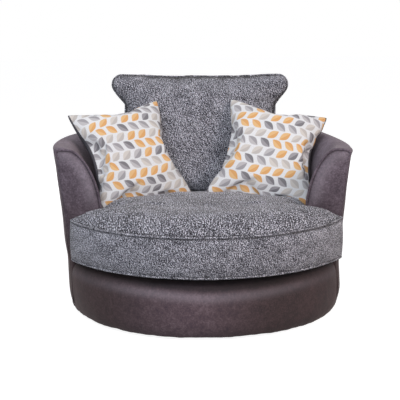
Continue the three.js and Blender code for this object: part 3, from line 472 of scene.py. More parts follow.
def plywood():
    """Sanded birch plywood: straw-coloured, with long pale grain and thin brown glue lines at the edge."""
    material, tree = new_material("sanded_birch_plywood")
    place = add(tree, "ShaderNodeTexCoord").outputs["Object"]
    # Figure 90 mm long and 4 mm wide. The wave has 20 / (2 pi) crests in a unit, so glue lines lie 0.94 mm
    # apart.
    grain = add(tree, "ShaderNodeMapping",
                {"Vector": place, "Scale": (1 / (90 * mm), 1 / (4 * mm), 1 / (4 * mm))})
    figure = add(tree, "ShaderNodeTexNoise", {"Vector": grain.outputs[0], "Scale": 1.0, "Detail": 4.0,
                                              "Roughness": 0.6})
    face = add(tree, "ShaderNodeValToRGB", {"Fac": figure.outputs["Fac"]},
               stops=[(0.30, "a9805a"), (0.55, "c79f72"), (0.75, "d8b689")])
    ply = add(tree, "ShaderNodeMapping", {"Vector": place, "Scale": (1, 1, 2 * math.pi / (3 * mm))})
    layers = add(tree, "ShaderNodeTexWave", {"Vector": ply.outputs[0], "Scale": 1 / (2 * math.pi),
                                             "Distortion": 0.4}, bands_direction="Z")
    lines = add(tree, "ShaderNodeValToRGB", {"Fac": layers.outputs["Fac"]},
                stops=[(0.05, "8a6242"), (0.30, "ffffff")])
    colour = add(tree, "ShaderNodeMix", {0: 0.25, 6: face.outputs[0], 7: lines.outputs[0]}, data_type="RGBA",
                 blend_type="MULTIPLY")
    return finish_surface(material, tree, colour.outputs[2], 0.62, figure.outputs["Fac"], 0.2 * mm)


def metal(name, dark, light, roughness, grain):
    """Plated or drawn steel: fine streaks of a grain in metres, and gloss made uneven by 25 mm smudges of
    handling."""
    material, tree = new_material(name)
    place = add(tree, "ShaderNodeTexCoord").outputs["Object"]
    streak = add(tree, "ShaderNodeMapping",
                 {"Vector": place, "Scale": (1 / grain, 1 / (8 * grain), 1 / grain)})
    marks = add(tree, "ShaderNodeTexNoise", {"Vector": streak.outputs[0], "Scale": 1.0, "Detail": 3.0})
    smudge = add(tree, "ShaderNodeTexNoise", {"Vector": place, "Scale": 1 / (25 * mm), "Detail": 2.0})
    colour = add(tree, "ShaderNodeValToRGB", {"Fac": smudge.outputs["Fac"]},
                 stops=[(0.3, dark), (0.7, light)])
    rough = add(tree, "ShaderNodeMapRange", {0: smudge.outputs["Fac"], 1: 0.3, 2: 0.7, 3: roughness - 0.07,
                                             4: roughness + 0.08})
    return finish_surface(material, tree, colour.outputs[0], rough.outputs[0], marks.outputs["Fac"],
                          0.05 * mm, Metallic=1.0)


def moulded_plastic():
    """Injection-moulded polyethylene: near black, with the mould's faint orange peel of 1.5 mm."""
    material, tree = new_material("moulded_black_polyethylene")
    place = add(tree, "ShaderNodeTexCoord").outputs["Object"]
    peel = add(tree, "ShaderNodeTexNoise", {"Vector": place, "Scale": 1 / (1.5 * mm), "Detail": 2.0})
    colour = add(tree, "ShaderNodeValToRGB", {"Fac": peel.outputs["Fac"]},
                 stops=[(0.3, "141416"), (0.7, "1d1d20")])
    return finish_surface(material, tree, colour.outputs[0], 0.45, peel.outputs["Fac"], 0.08 * mm)


SUEDE = suede()
CHENILLE = chenille()
PRINT = leaf_print()
# Plain cotton is matt and faintly flecked, spunbond fleece blotchy where its fibres bunch, needled felt dull
# and fuzzy, and thread matt with a twist. All but the felt are drawn coarser than their real threads of 0.2
# to 0.5 mm.
CHARCOAL = plain_cloth("plain_charcoal_cotton", "3f3e44", "5b5a60", 1.6 * mm)
LINING = plain_cloth("spunbond_black_lining", "1b1b1e", "2c2c30", 2.0 * mm)
FELT = plain_cloth("needled_grey_felt", "76736c", "9b9890", 4.0 * mm)
THREAD = plain_cloth("spun_polyester_thread", "453c43", "5a5058", 0.6 * mm)
PLYWOOD = plywood()
# Zinc plate is pale and fairly bright, and drawn wire dark grey and duller.
ZINC = metal("bright_zinc_plated_steel", "8f9296", "b4b8bb", 0.34, 0.8 * mm)
SPRING_WIRE = metal("drawn_spring_steel", "4b4e52", "6b6f73", 0.42, 0.5 * mm)
PLASTIC = moulded_plastic()

# Mesh tools


def lerp(a, b, share):
    return a + (b - a) * share


def make_mesh(name, points, faces, *materials):
    """A smooth mesh object at the origin, linked to the scene."""
    mesh = bpy.data.meshes.new(name)
    mesh.from_pydata([tuple(p) for p in points], [], [tuple(f) for f in faces])
    mesh.validate()
    for material in materials:
        mesh.materials.append(material)
    mesh.polygons.foreach_set("use_smooth", [True] * len(mesh.polygons))
    made = bpy.data.objects.new(name, mesh)
    bpy.context.scene.collection.objects.link(made)
    return made


def coords(piece):
    flat = np.empty(len(piece.data.vertices) * 3)
    piece.data.vertices.foreach_get("co", flat)
    return flat.reshape(-1, 3)


def set_coords(piece, points):
    piece.data.vertices.foreach_set("co", np.asarray(points, dtype=np.float32).ravel())
    piece.data.update()


def normals(piece):
    flat = np.empty(len(piece.data.vertices) * 3)
    piece.data.vertices.foreach_get("normal", flat)
    return flat.reshape(-1, 3)


def grid_faces(rows, columns, close_rows=False, close_columns=False):
    """Quads over points laid out row after row, joined last to first where it is closed."""
    last_row = rows if close_rows else rows - 1
    last_column = columns if close_columns else columns - 1
    faces = []
    for i in range(last_row):
        a, b = i * columns, ((i + 1) % rows) * columns
        for j in range(last_column):
            k = (j + 1) % columns
            faces.append((a + j, a + k, b + k, b + j))
    return faces


def point_outwards(piece):
    """Closes any open edge loop, merges doubles and turns every face outwards."""
    work = bmesh.new()
    work.from_mesh(piece.data)
    bmesh.ops.remove_doubles(work, verts=work.verts, dist=0.02 * mm)
    bmesh.ops.holes_fill(work, edges=[e for e in work.edges if e.is_boundary], sides=0)
    face_out(work)
    work.to_mesh(piece.data)
    work.free()
    piece.data.update()


def face_out(work):
    """Makes the faces agree, and turns them all round if what they enclose comes out negative."""
    bmesh.ops.recalc_face_normals(work, faces=work.faces)
    if work.calc_volume(signed=True) < 0:
        bmesh.ops.reverse_faces(work, faces=work.faces)


def dress(piece, body, slot, *nodes, fill=None):
    """Rides a finished piece on its body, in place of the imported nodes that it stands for."""
    if nodes:
        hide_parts(*nodes)
    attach(piece, body)
    return piece


def ruffle(piece, shift):
    """Moves each point along its normal by shift(point), in metres."""
    points, away = coords(piece), normals(piece)
    moves = np.array([shift(p) for p in points])
    set_coords(piece, points + away * moves[:, None])


def cloudy(point, size, seed):
    """Smooth noise from about -1 to 1 whose lumps are of one size, in metres."""
    where = Vector((point[0] / size + seed, point[1] / size - seed, point[2] / size + 2 * seed))
    return noise.fractal(where, 0.6, 2.0, 3, noise_basis="PERLIN_ORIGINAL")


def mark(piece, name, strength):
    """Stores for each point a value from 0 to 1 under a name: how much painted shade or painted highlight it
    takes.
    """
    layer = piece.data.attributes.new(name, "FLOAT", "POINT")
    layer.data.foreach_set("value", np.asarray(strength, dtype=np.float32))


def smoothstep(low, high, value):
    """0 up to low and 1 from high on, eased between them. With low above high it falls instead."""
    share = np.clip((value - low) / (high - low), 0, 1)
    return share * share * (3 - 2 * share)


def subdivide(piece):
    """Smooths a finished cushion with a live Subdivision Surface."""
    surface = piece.modifiers.new("Subdivision", "SUBSURF")
    surface.levels = surface.render_levels = 1


# What follows a line


def along_line_tree(name, build):
    """A Geometry Nodes tree that turns an edge path into a curve, hands it to build, and ends it in a
    plain mesh with a material."""
    tree = bpy.data.node_groups.new(name, "GeometryNodeTree")
    tree.interface.new_socket(name="Geometry", in_out="INPUT", socket_type="NodeSocketGeometry")
    tree.interface.new_socket(name="Geometry", in_out="OUTPUT", socket_type="NodeSocketGeometry")
    for size in ("Length", "Gap", "Radius"):
        tree.interface.new_socket(name=size, in_out="INPUT", socket_type="NodeSocketFloat")
    tree.interface.new_socket(name="Material", in_out="INPUT", socket_type="NodeSocketMaterial")
    given = add(tree, "NodeGroupInput")
    curve = add(tree, "GeometryNodeMeshToCurve", {"Mesh": given.outputs["Geometry"]}).outputs["Curve"]
    shape = build(tree, given, curve)
    real = add(tree, "GeometryNodeRealizeInstances", {"Geometry": shape})
    finished = add(tree, "GeometryNodeSetMaterial", {"Geometry": real.outputs["Geometry"],
                                                     "Material": given.outputs["Material"]})
    smooth = add(tree, "GeometryNodeSetShadeSmooth", {"Geometry": finished.outputs["Geometry"]})
    add(tree, "NodeGroupOutput", {"Geometry": smooth.outputs["Geometry"]})
    return tree


def build_stitches(tree, given, curve):
    """Short stitches along a line, each one Length long and a Gap from the next, of thread of one Radius."""
    pitch = add(tree, "ShaderNodeMath", {0: given.outputs["Length"], 1: given.outputs["Gap"]},
                operation="ADD")
    spots = add(tree, "GeometryNodeResampleCurve", {"Curve": curve, "Length": pitch.outputs[0]},
                mode="LENGTH")
    bead = add(tree, "GeometryNodeMeshUVSphere",
               {"Segments": 6, "Rings": 4, "Radius": given.outputs["Radius"]})
    stretch = add(tree, "ShaderNodeMath", {0: given.outputs["Length"], 1: given.outputs["Radius"]},
                  operation="DIVIDE")
    half = add(tree, "ShaderNodeMath", {0: stretch.outputs[0], 1: 0.5}, operation="MULTIPLY")
    scale = add(tree, "ShaderNodeCombineXYZ", {0: half.outputs[0], 1: 1.0, 2: 1.0})
    tangent = add(tree, "GeometryNodeInputTangent")
    turn = add(tree, "FunctionNodeAlignRotationToVector", {"Vector": tangent.outputs[0]}, axis="X")
    rows = add(tree, "GeometryNodeInstanceOnPoints",
               {"Points": spots.outputs["Curve"], "Instance": bead.outputs["Mesh"],
                "Rotation": turn.outputs[0], "Scale": scale.outputs[0]})
    return rows.outputs["Instances"]


def build_piping(tree, given, curve):
    """A round cord of one Radius, covered in the cushion's own cloth."""
    even = add(tree, "GeometryNodeResampleCurve", {"Curve": curve, "Length": given.outputs["Length"]},
               mode="LENGTH")
    ring = add(tree, "GeometryNodeCurvePrimitiveCircle",
               {"Resolution": 10, "Radius": given.outputs["Radius"]})
    cord = add(tree, "GeometryNodeCurveToMesh",
               {"Curve": even.outputs["Curve"], "Profile Curve": ring.outputs["Curve"],
                                                 "Fill Caps": True})
    return cord.outputs["Mesh"]


STITCHES = along_line_tree("Stitches", build_stitches)
PIPING = along_line_tree("Piping", build_piping)


def follow(tree, name, path, material, length, gap, radius, closed=False):
    """Runs one of the trees along a path of points and returns a plain mesh object."""
    count = len(path)
    edges = [(i, (i + 1) % count) for i in range(count if closed else count - 1)]
    mesh = bpy.data.meshes.new(name + "_path")
    mesh.from_pydata([tuple(p) for p in path], edges, [])
    guide = bpy.data.objects.new(name + "_path", mesh)
    bpy.context.scene.collection.objects.link(guide)
    modifier = guide.modifiers.new("Along", "NODES")
    modifier.node_group = tree
    values = {"Length": length, "Gap": gap, "Radius": radius, "Material": material}
    for item in tree.interface.items_tree:
        if item.in_out == "INPUT" and item.name in values:
            modifier[item.identifier] = values[item.name]
    evaluated = guide.evaluated_get(bpy.context.evaluated_depsgraph_get())
    made = bpy.data.objects.new(name, bpy.data.meshes.new_from_object(evaluated))
    made.data.name = name
    bpy.context.scene.collection.objects.link(made)
    bpy.data.objects.remove(guide)
    return made


def lay_cord_cloth(piece, path):
    """Gives a cord a weave map in metres: along it by the nearest point of its path, and round it by height,
    slanted a little from side to side."""
    path = np.asarray(path)
    steps = np.linalg.norm(np.diff(path, axis=0), axis=1)
    run = np.concatenate([[0], np.cumsum(steps)])
    points = coords(piece)
    nearest = np.array([np.argmin(((path - p) ** 2).sum(1)) for p in points])
    around = points[:, 2] + points[:, 0] * 0.3
    flat = np.column_stack([run[nearest], around])
    write_weave(piece, flat)


def write_weave(piece, flat):
    """Stores one flat cloth position, in metres, for each point."""
    layer = piece.data.uv_layers.get("weave") or piece.data.uv_layers.new(name="weave")
    loops = np.empty(len(piece.data.loops), dtype=np.int64)
    piece.data.loops.foreach_get("vertex_index", loops)
    layer.data.foreach_set("uv", flat[loops].astype(np.float32).ravel())


# The tub wall's form


def back_share(angle):
    """0 at the arms' faces and 1 at the middle of the back, by how far back an angle lies."""
    forward = RIM_RADIUS * np.sin(angle) + ARM_FRONT
    return np.clip(forward / (RIM_RADIUS + ARM_FRONT), 0, None)


def rim_height(angle):
    """The rim climbs from the arms to the back."""
    return lerp(ARM_HEIGHT, BACK_HEIGHT, back_share(angle) ** RIM_RISE)


def rim_radius(angle):
    """The rim's outer edge, drawn in a little at the back."""
    return RIM_RADIUS - BACK_PULL_IN * back_share(angle) ** 2


def wall_radius(z, angle):
    """The outside: a drum with a round lower edge, a slight waist, and a wall that flares up to the rim."""
    high = lerp(WAIST_RADIUS, rim_radius(angle), (z - WAIST_HEIGHT) / (rim_height(angle) - WAIST_HEIGHT))
    middle = lerp(DRUM_RADIUS, WAIST_RADIUS, smoothstep(BULGE_HEIGHT, WAIST_HEIGHT, z))
    fall = np.clip((BULGE_HEIGHT - z) / (BULGE_HEIGHT - FLOOR_GAP), 0, 1)
    low = LIP_RADIUS + (DRUM_RADIUS - LIP_RADIUS) * np.sqrt(1 - fall ** 2)
    return np.where(z >= WAIST_HEIGHT, high, np.where(z >= BULGE_HEIGHT, middle, low))


def pad_face(z, angle):
    """The inside: upright up to the scoop, and from there curving out to the rim."""
    share = np.clip((z - SCOOP_HEIGHT) / (rim_height(angle) - SCOOP_HEIGHT), 0, 1)
    top = rim_radius(angle) - RIM_TOP_WIDTH
    return lerp(TUB_RADIUS, top, 1 - (1 - share ** SCOOP_POWER) ** (1 / SCOOP_POWER))


def fixed_row(radius, z):
    """A row of points at one radius and height. Every row is a function from angles to radii and heights."""
    return lambda angle: (np.full_like(angle, radius), np.full_like(angle, z))


LIP_STEPS, ROLL_STEPS = 5, 12  # rows from the flange to the drum's lowest line, and from there to its bulge


def lower_edge_rows():
    """From the flange under the frame board out round the drum's lower edge and up to its bulge."""
    flange = BOARD_BOTTOM - COVER_THICKNESS
    rows = [fixed_row(FLANGE_RADIUS, flange)]
    for turn in np.linspace(0, math.pi / 2, LIP_STEPS):
        rows.append(fixed_row(LIP_RADIUS - LIP_REACH * math.cos(turn),
                              lerp(flange, FLOOR_GAP, math.sin(turn))))
    for turn in np.linspace(0, math.pi / 2, ROLL_STEPS)[1:]:
        rows.append(fixed_row(lerp(LIP_RADIUS, DRUM_RADIUS, math.sin(turn)),
                              BULGE_HEIGHT - (BULGE_HEIGHT - FLOOR_GAP) * math.cos(turn)))
    return rows


def wrap(name, rows, turns, material):
    """Sweeps rows round the back of the swivel axis, each from the plane of the wall's front ends on the
    right round to the same plane on the left. turns are shares of the way round."""
    points = []
    for row in rows:
        end = np.array([-0.3])
        # A row's radius changes with the angle, and six rounds settle where it meets the plane.
        for _ in range(6):
            end = -np.arcsin(WALL_FRONT / row(end)[0])
        angle = lerp(end[0], math.pi - end[0], turns)
        radius, z = row(angle)
        points.append(np.column_stack([radius * np.cos(angle), radius * np.sin(angle), z]))
    piece = make_mesh(name, np.concatenate(points), grid_faces(len(rows), len(turns), close_rows=True),
                      material)
    point_outwards(piece)
    return piece


def shares_with_seams(count, seams, step):
    """Even shares of the way round, with finer ones beside each seam."""
    extra = [s + k * step for s in seams for k in (-3, -2, -1, -0.5, 0, 0.5, 1, 2, 3)]
    return np.unique(np.round(np.concatenate([np.linspace(0, 1, count), extra]), 6))


OUTER_SEAMS, INNER_SEAMS = (0.19, 0.81), (0.27, 0.73)  # as shares of the way round
SEAM_STEP = 0.0016  # 3.6 mm of the outer wall, as a share


def angle_share(point):
    """How far round the wall a point lies, 0 at the right arm's face and 1 at the left's."""
    angle = math.atan2(point[1], point[0])
    if angle < -math.pi / 2:
        angle += 2 * math.pi
    end = -math.asin(WALL_FRONT / max(math.hypot(point[0], point[1]), WALL_FRONT * 1.01))
    return (angle - end) / (math.pi - 2 * end)


def seam_groove(point, seams, depth):
    """How far the cloth is drawn in where a seam runs up the wall."""
    share = angle_share(point)
    return -depth * sum(math.exp(-((share - s) / (0.8 * SEAM_STEP)) ** 2) for s in seams)


def hand_shaped(point):
    """How far the stuffing stands out where the upholsterer packed it fuller, by some millimetres on either
    side at the waist, the hem and the top."""
    left = smoothstep(250 * mm, 500 * mm, -point[0])
    right = smoothstep(150 * mm, 450 * mm, point[0])
    waist = math.exp(-((point[2] - 290 * mm) / (75 * mm)) ** 2)
    hem = 1 - smoothstep(70 * mm, 200 * mm, point[2])
    top = smoothstep(400 * mm, 550 * mm, point[2])
    return (waist * (5.5 * left + 2.0 * right) + hem * (5.5 * right - 2.0 * left) - top * 3.5 * right) * mm


WALL_SETTLE = (13 * mm, -8 * mm)  # on the left arm and on the right
FACING_SETTLE = (7 * mm, -5 * mm)


def settle_rim(piece, settle):
    """Raises the rim's outer shoulders, filled fuller on the left arm and sunk a little on the right."""
    left, right = settle
    points = coords(piece)
    out = smoothstep(470 * mm, 610 * mm, np.abs(points[:, 0])) * smoothstep(500 * mm, 670 * mm, points[:, 2])
    points[:, 2] += np.where(points[:, 0] > 0, right, left) * out
    set_coords(piece, points)


LOWEST_FOLDS = 40 * mm  # below this the cloth is gathered under the drum, and above it the folds run out
FOLDS_RUN_OUT = 22 * mm


def gathered(point, spacing, depth, seed):
    """How far the small upright folds stand out where the cloth is gathered under the drum."""
    arc = math.atan2(point[1], point[0]) * math.hypot(point[0], point[1])
    under = math.exp(-max(0.0, point[2] - LOWEST_FOLDS) / FOLDS_RUN_OUT)
    return noise.noise(Vector((arc / spacing, point[2] / (120 * mm), seed))) * depth * under


def outer_cover():
    """The suede over the drum's back and the wall's outside, up to the seam under the rim, and its inside."""
    rows = lower_edge_rows()
    for z in np.linspace(BULGE_HEIGHT, WAIST_HEIGHT, 9)[1:]:
        rows.append(lambda angle, z=z: (wall_radius(np.full_like(angle, z), angle), np.full_like(angle, z)))

    def high_row(share, inset=0.0):
        def row(angle):
            z = lerp(WAIST_HEIGHT, rim_height(angle) - LIP_DROP - 1.2 * mm, share)
            return wall_radius(z, angle) - inset, z
        return row

    rows += [high_row(s) for s in np.linspace(0, 1, 30)[1:]]
    rows += [high_row(s, COVER_THICKNESS) for s in (1.0, 0.66, 0.33, 0.0)]
    rows += [fixed_row(DRUM_RADIUS - COVER_THICKNESS, BULGE_HEIGHT),
             fixed_row(LIP_RADIUS + 20 * mm, FLOOR_GAP + 24 * mm),
             fixed_row(LIP_RADIUS, FLOOR_GAP + COVER_THICKNESS),
             fixed_row(LIP_RADIUS - LIP_REACH + COVER_THICKNESS, BOARD_BOTTOM - FIT_GAP),
             fixed_row(FLANGE_RADIUS, BOARD_BOTTOM - FIT_GAP)]
    turns = shares_with_seams(150, OUTER_SEAMS, SEAM_STEP)
    piece = wrap("outer_cover_skin", rows, turns, SUEDE)

    def give(p):
        radius = math.hypot(p[0], p[1])
        outside = smoothstep(-3 * mm, 0.0, radius - float(wall_radius(np.float64(p[2]), 1.0)) + 1 * mm)
        drape = cloudy(p, 160 * mm, 1.7) * 1.5 * mm + hand_shaped(p)
        return outside * (gathered(p, 28 * mm, 1.6 * mm, 3.1) + drape + seam_groove(p, OUTER_SEAMS, 1.8 * mm))

    ruffle(piece, give)
    settle_rim(piece, WALL_SETTLE)
    return dress(piece, "chair", "dark_suede", "outer_cover", fill=0.9)


INSIDE_HIGHLIGHT, RIM_HIGHLIGHT = 0.36, 0.30  # painted highlight above the seat, and on the rim


def inner_wall_rows():
    """The tub padding's rows: up from the deck, out over the scoop and the rim, and down behind its lip."""
    face = np.linspace(DECK_TOP + FIT_GAP, SCOOP_HEIGHT, 14)
    hidden_drop = 70 * mm  # how far under the rim the padding's back begins
    rows = [lambda angle, z=z: (pad_face(np.full_like(angle, z), angle), np.full_like(angle, z))
            for z in face]

    def scoop_row(turn):
        def row(angle):
            z = lerp(SCOOP_HEIGHT, rim_height(angle), math.sin(turn))
            return pad_face(z, angle), z
        return row

    def rim_row(inset, drop):
        return lambda angle: (rim_radius(angle) - inset, rim_height(angle) - drop)

    def lip_row(inset, drop):
        def row(angle):
            z = rim_height(angle) - drop
            return wall_radius(z, angle) - inset, z
        return row

    def back_row(share):
        def row(angle):
            z = lerp(SCOOP_HEIGHT, rim_height(angle) - hidden_drop, share)
            return np.minimum(pad_face(z, angle) + PAD_THICKNESS, rim_radius(angle) - 66 * mm), z
        return row

    rows += [scoop_row(t) for t in np.linspace(0, math.pi / 2, 34)[1:]]
    rows += [rim_row(RIM_TOP_WIDTH - k, 0) for k in (7 * mm, 15 * mm)]
    rows += [rim_row(SHOULDER_REACH * (1 - math.sin(t)), SHOULDER_DROP * (1 - math.cos(t)))
             for t in np.linspace(0, math.pi / 2, 9)]
    rows += [lip_row(0, LIP_DROP - 1 * mm), lip_row(1.5 * mm, LIP_DROP),
             lip_row(COVER_THICKNESS + 3.5 * mm, LIP_DROP)]
    rows += [lip_row(COVER_THICKNESS + 8 * mm, 36 * mm), lip_row(60 * mm, hidden_drop)]
    rows += [back_row(share) for share in (0.7, 0.35, 0.0)]
    rows += [fixed_row(TUB_RADIUS + PAD_THICKNESS, z) for z in (330 * mm, DECK_TOP + FIT_GAP)]
    return rows


def mark_inner_wall(piece):
    """Paints a highlight inside the tub above the seat, and a fainter one along the rim."""
    nap_and_highlight = []
    for x, y, z in coords(piece):
        on_rim = float(smoothstep(30 * mm, 8 * mm, rim_height(np.arctan2(y, x)) - z))
        nap_and_highlight.append(lerp(INSIDE_HIGHLIGHT * float(smoothstep(400 * mm, 460 * mm, z)), RIM_HIGHLIGHT, on_rim))
    mark(piece, "nap_and_highlight", nap_and_highlight)


def inner_wall():
    """The padded inside of the tub, with its two upright seams."""
    turns = shares_with_seams(140, INNER_SEAMS, SEAM_STEP)
    piece = wrap("inner_wall_padding", inner_wall_rows(), turns, SUEDE)

    def give(p):
        radius = math.hypot(p[0], p[1])
        angle = math.atan2(p[1], p[0])
        height = float(rim_height(np.float64(angle)))
        lip = 1 - smoothstep(height - 12 * mm, height - 4 * mm, p[2]) * (radius > RIM_RADIUS - 40 * mm)
        inside = float(radius < pad_face(np.float64(min(p[2], height)), angle) + 6 * mm
                       or p[2] > height - 16 * mm)
        pull = noise.noise(Vector((angle * radius / (50 * mm), p[2] / (220 * mm), 8.3))) * 1.4 * mm
        drape = cloudy(p, 130 * mm, 4.4) * 1.6 * mm
        return inside * (lip * (pull + drape) + seam_groove(p, INNER_SEAMS, 2.2 * mm))

    ruffle(piece, give)
    mark_inner_wall(piece)
    settle_rim(piece, WALL_SETTLE)
    return dress(piece, "chair", "dark_suede", "inner_wall_pad", fill=0.85)


# A highlight is painted where light grazes the roll under the seat. For angles in degrees round the drum's
# front, -90 being its middle, these are the height of that painted pale band and its strength.
PALE_BAND_TURNS, PALE_BAND_HEIGHTS = (-130, -110, -90, -70, -50), np.array((190, 184, 172, 177, 187)) * mm
PALE_TURNS = (-140, -130, -110, -90, -70, -50, -40)
PALE_STRENGTHS = (0.22, 0.32, 0.56, 0.56, 0.40, 0.30, 0.22)


BORDER_LEG, BORDER_LOW = ARM_FRONT + FACING_CROWN + 0.6 * mm, WALL_FRONT + FIT_GAP
BORDER_COLUMNS, BORDER_END_COLUMNS = 130, 3


def border_rows():
    """The rows of the drum's front, and the plane that each one ends on: up the outside, over the roll under
    the cushion, and back down inside. Beside the arms' feet the border is notched, so it ends further back
    below the notch than above it."""
    leg, low = BORDER_LEG, BORDER_LOW
    start = BORDER_TOP - BORDER_ROLL_HEIGHT
    side = float(wall_radius(np.float64(start), 0.0))
    rows = lower_edge_rows()
    notch = FACING_BOTTOM - FIT_GAP
    heights = [row(np.array([0.0]))[1][0] for row in rows]
    split = next(i for i, z in enumerate(heights) if i > LIP_STEPS and z > notch)
    at_notch = fixed_row(float(wall_radius(np.float64(notch), 0.0)), notch)
    rows[split:split] = [at_notch, at_notch]
    planes = [low] * (split + 1) + [leg] * (len(rows) - split - 1)
    for z in np.linspace(BULGE_HEIGHT, start, 8)[1:]:
        rows.append(fixed_row(float(wall_radius(np.float64(z), 0.0)), z))
    for turn in np.linspace(0, math.pi / 2, 12)[1:]:
        rows.append(fixed_row(side - BORDER_ROLL_REACH * (1 - math.cos(turn)),
                              lerp(start, BORDER_TOP, math.sin(turn))))
    inner = HOOP_OUTER + FIT_GAP
    rows += [fixed_row(inner, z) for z in (BORDER_TOP, 150 * mm, notch)]
    planes += [leg] * (len(rows) - len(planes))
    rows += [fixed_row(inner, notch), fixed_row(inner, BOARD_TOP + FIT_GAP),
             fixed_row(BOARD_RADIUS + FIT_GAP, BOARD_TOP + FIT_GAP),
             fixed_row(BOARD_RADIUS + FIT_GAP, BOARD_BOTTOM - FIT_GAP),
             fixed_row(FLANGE_RADIUS, BOARD_BOTTOM - FIT_GAP)]
    planes += [low] * (len(rows) - len(planes))
    return rows, planes


def mark_border(piece):
    """Paints a highlight along the pale band, painted shadow above it under the seat's overhang, and painted
    shade towards the floor.
    """
    painted_shade, nap_and_highlight = [], []
    for x, y, z in coords(piece):
        turn = math.degrees(math.atan2(y, x))
        # A painted highlight along the pale band.
        pale = np.interp(turn, PALE_BAND_TURNS, PALE_BAND_HEIGHTS)
        nap_and_highlight.append(np.interp(turn, PALE_TURNS, PALE_STRENGTHS) * math.exp(-((z - pale) / (18 * mm)) ** 2))
        # Painted shadow under the seat's overhang, weaker towards the sides, and painted shade towards the
        # floor.
        aside = float(smoothstep(22, 45, abs(turn + 90)))
        under_seat = smoothstep(10 * mm, 32 * mm, z - pale) * lerp(1.0, 0.7, aside)
        near_floor = 1 - float(smoothstep(15 * mm, 75 * mm, z))
        painted_shade.append(0.95 * float(under_seat) + 0.34 * near_floor)
    mark(piece, "painted_shade", painted_shade)
    mark(piece, "nap_and_highlight", nap_and_highlight)


def front_border():
    """The drum's front: a padded roll under the cushion, a long soft side, and a rolled lower edge."""
    rows, planes = border_rows()
    points = []
    for row, plane in zip(rows, planes):
        radius = row(np.array([0.0]))[0][0]
        end, shared = math.asin(plane / radius), math.asin((BORDER_LEG + 10 * mm) / radius)
        near = np.linspace(end, shared, BORDER_END_COLUMNS + 1)[:-1]
        middle = np.linspace(shared, math.pi - shared, BORDER_COLUMNS - 2 * BORDER_END_COLUMNS)
        angle = -np.concatenate([near, middle, math.pi - near[::-1]])
        r, z = row(angle)
        points.append(np.column_stack([r * np.cos(angle), r * np.sin(angle), z]))
    piece = make_mesh("drum_front_border", np.concatenate(points),
                      grid_faces(len(rows), BORDER_COLUMNS, close_rows=True), SUEDE)
    point_outwards(piece)

    def give(p):
        radius = math.hypot(p[0], p[1])
        at_board = radius < BOARD_RADIUS + 2 * mm and BOARD_BOTTOM - 3 * mm < p[2] < BOARD_TOP + 3 * mm
        outside = float(radius > HOOP_OUTER + 2 * mm and not at_board)
        ends = smoothstep(0, 12 * mm, -p[1] - WALL_FRONT)
        drape = cloudy(p, 150 * mm, 2.9) * 1.8 * mm + hand_shaped(p)
        return outside * ends * (gathered(p, 26 * mm, 1.7 * mm, 5.7) + drape)

    ruffle(piece, give)
    mark_border(piece)
    return dress(piece, "chair", "dark_suede", "front_border", fill=0.9)


def plane_point(radius, z, forward, hand):
    """The point at a radius from the swivel's axis on the plane y = -forward, left (-1) or right (1)."""
    return (hand * math.sqrt(radius ** 2 - forward ** 2), -forward, z)


def shoulder_drop(inset):
    """How far the rim's rounded shoulder has dropped at a distance in from its outer edge."""
    return SHOULDER_DROP * (1 - math.sqrt(1 - max(0.0, 1 - inset / SHOULDER_REACH) ** 2))


FACING_RIM = float(rim_height(np.float64(FACING_ANGLE)))
FACING_EDGE = float(rim_radius(np.float64(FACING_ANGLE)))


def facing_outside(z):
    """The point of the wall's outside at a height, at the arm's face, as (radius, z)."""
    return float(wall_radius(np.float64(z), FACING_ANGLE)), z


def facing_inside(turn):
    """The point of the scoop at a turn from upright (0) to level (a right angle), as (radius, z)."""
    z = lerp(SCOOP_HEIGHT, FACING_RIM, math.sin(turn))
    return float(pad_face(np.float64(z), FACING_ANGLE)), z


def facing_curves():
    """The arm's inner and outer outlines as (radius, z), matched point for point from the foot to the rim."""
    deck = DECK_TOP + FIT_GAP
    below_rim = FACING_RIM - 60 * mm
    inner, outer = [], []
    for z in np.linspace(FACING_BOTTOM, deck, 14):
        inner.append((HOOP_OUTER + FIT_GAP, z))
        outer.append(facing_outside(z))
    for z in np.linspace(deck + 0.1 * mm, SCOOP_HEIGHT, 14):
        inner.append((TUB_RADIUS, z))
        outer.append(facing_outside(z))
    for turn in np.linspace(0, math.pi / 2, 22)[1:]:
        inner.append(facing_inside(turn))
        outer.append(facing_outside(lerp(SCOOP_HEIGHT, below_rim, turn / (math.pi / 2))))
    for share in np.linspace(0, 1, 6)[1:]:
        inset = lerp(RIM_TOP_WIDTH, 8 * mm, share)
        inner.append((FACING_EDGE - inset, FACING_RIM - shoulder_drop(inset)))
        outer.append(facing_outside(lerp(below_rim, FACING_RIM - SHOULDER_DROP, share)))
    return inner, outer


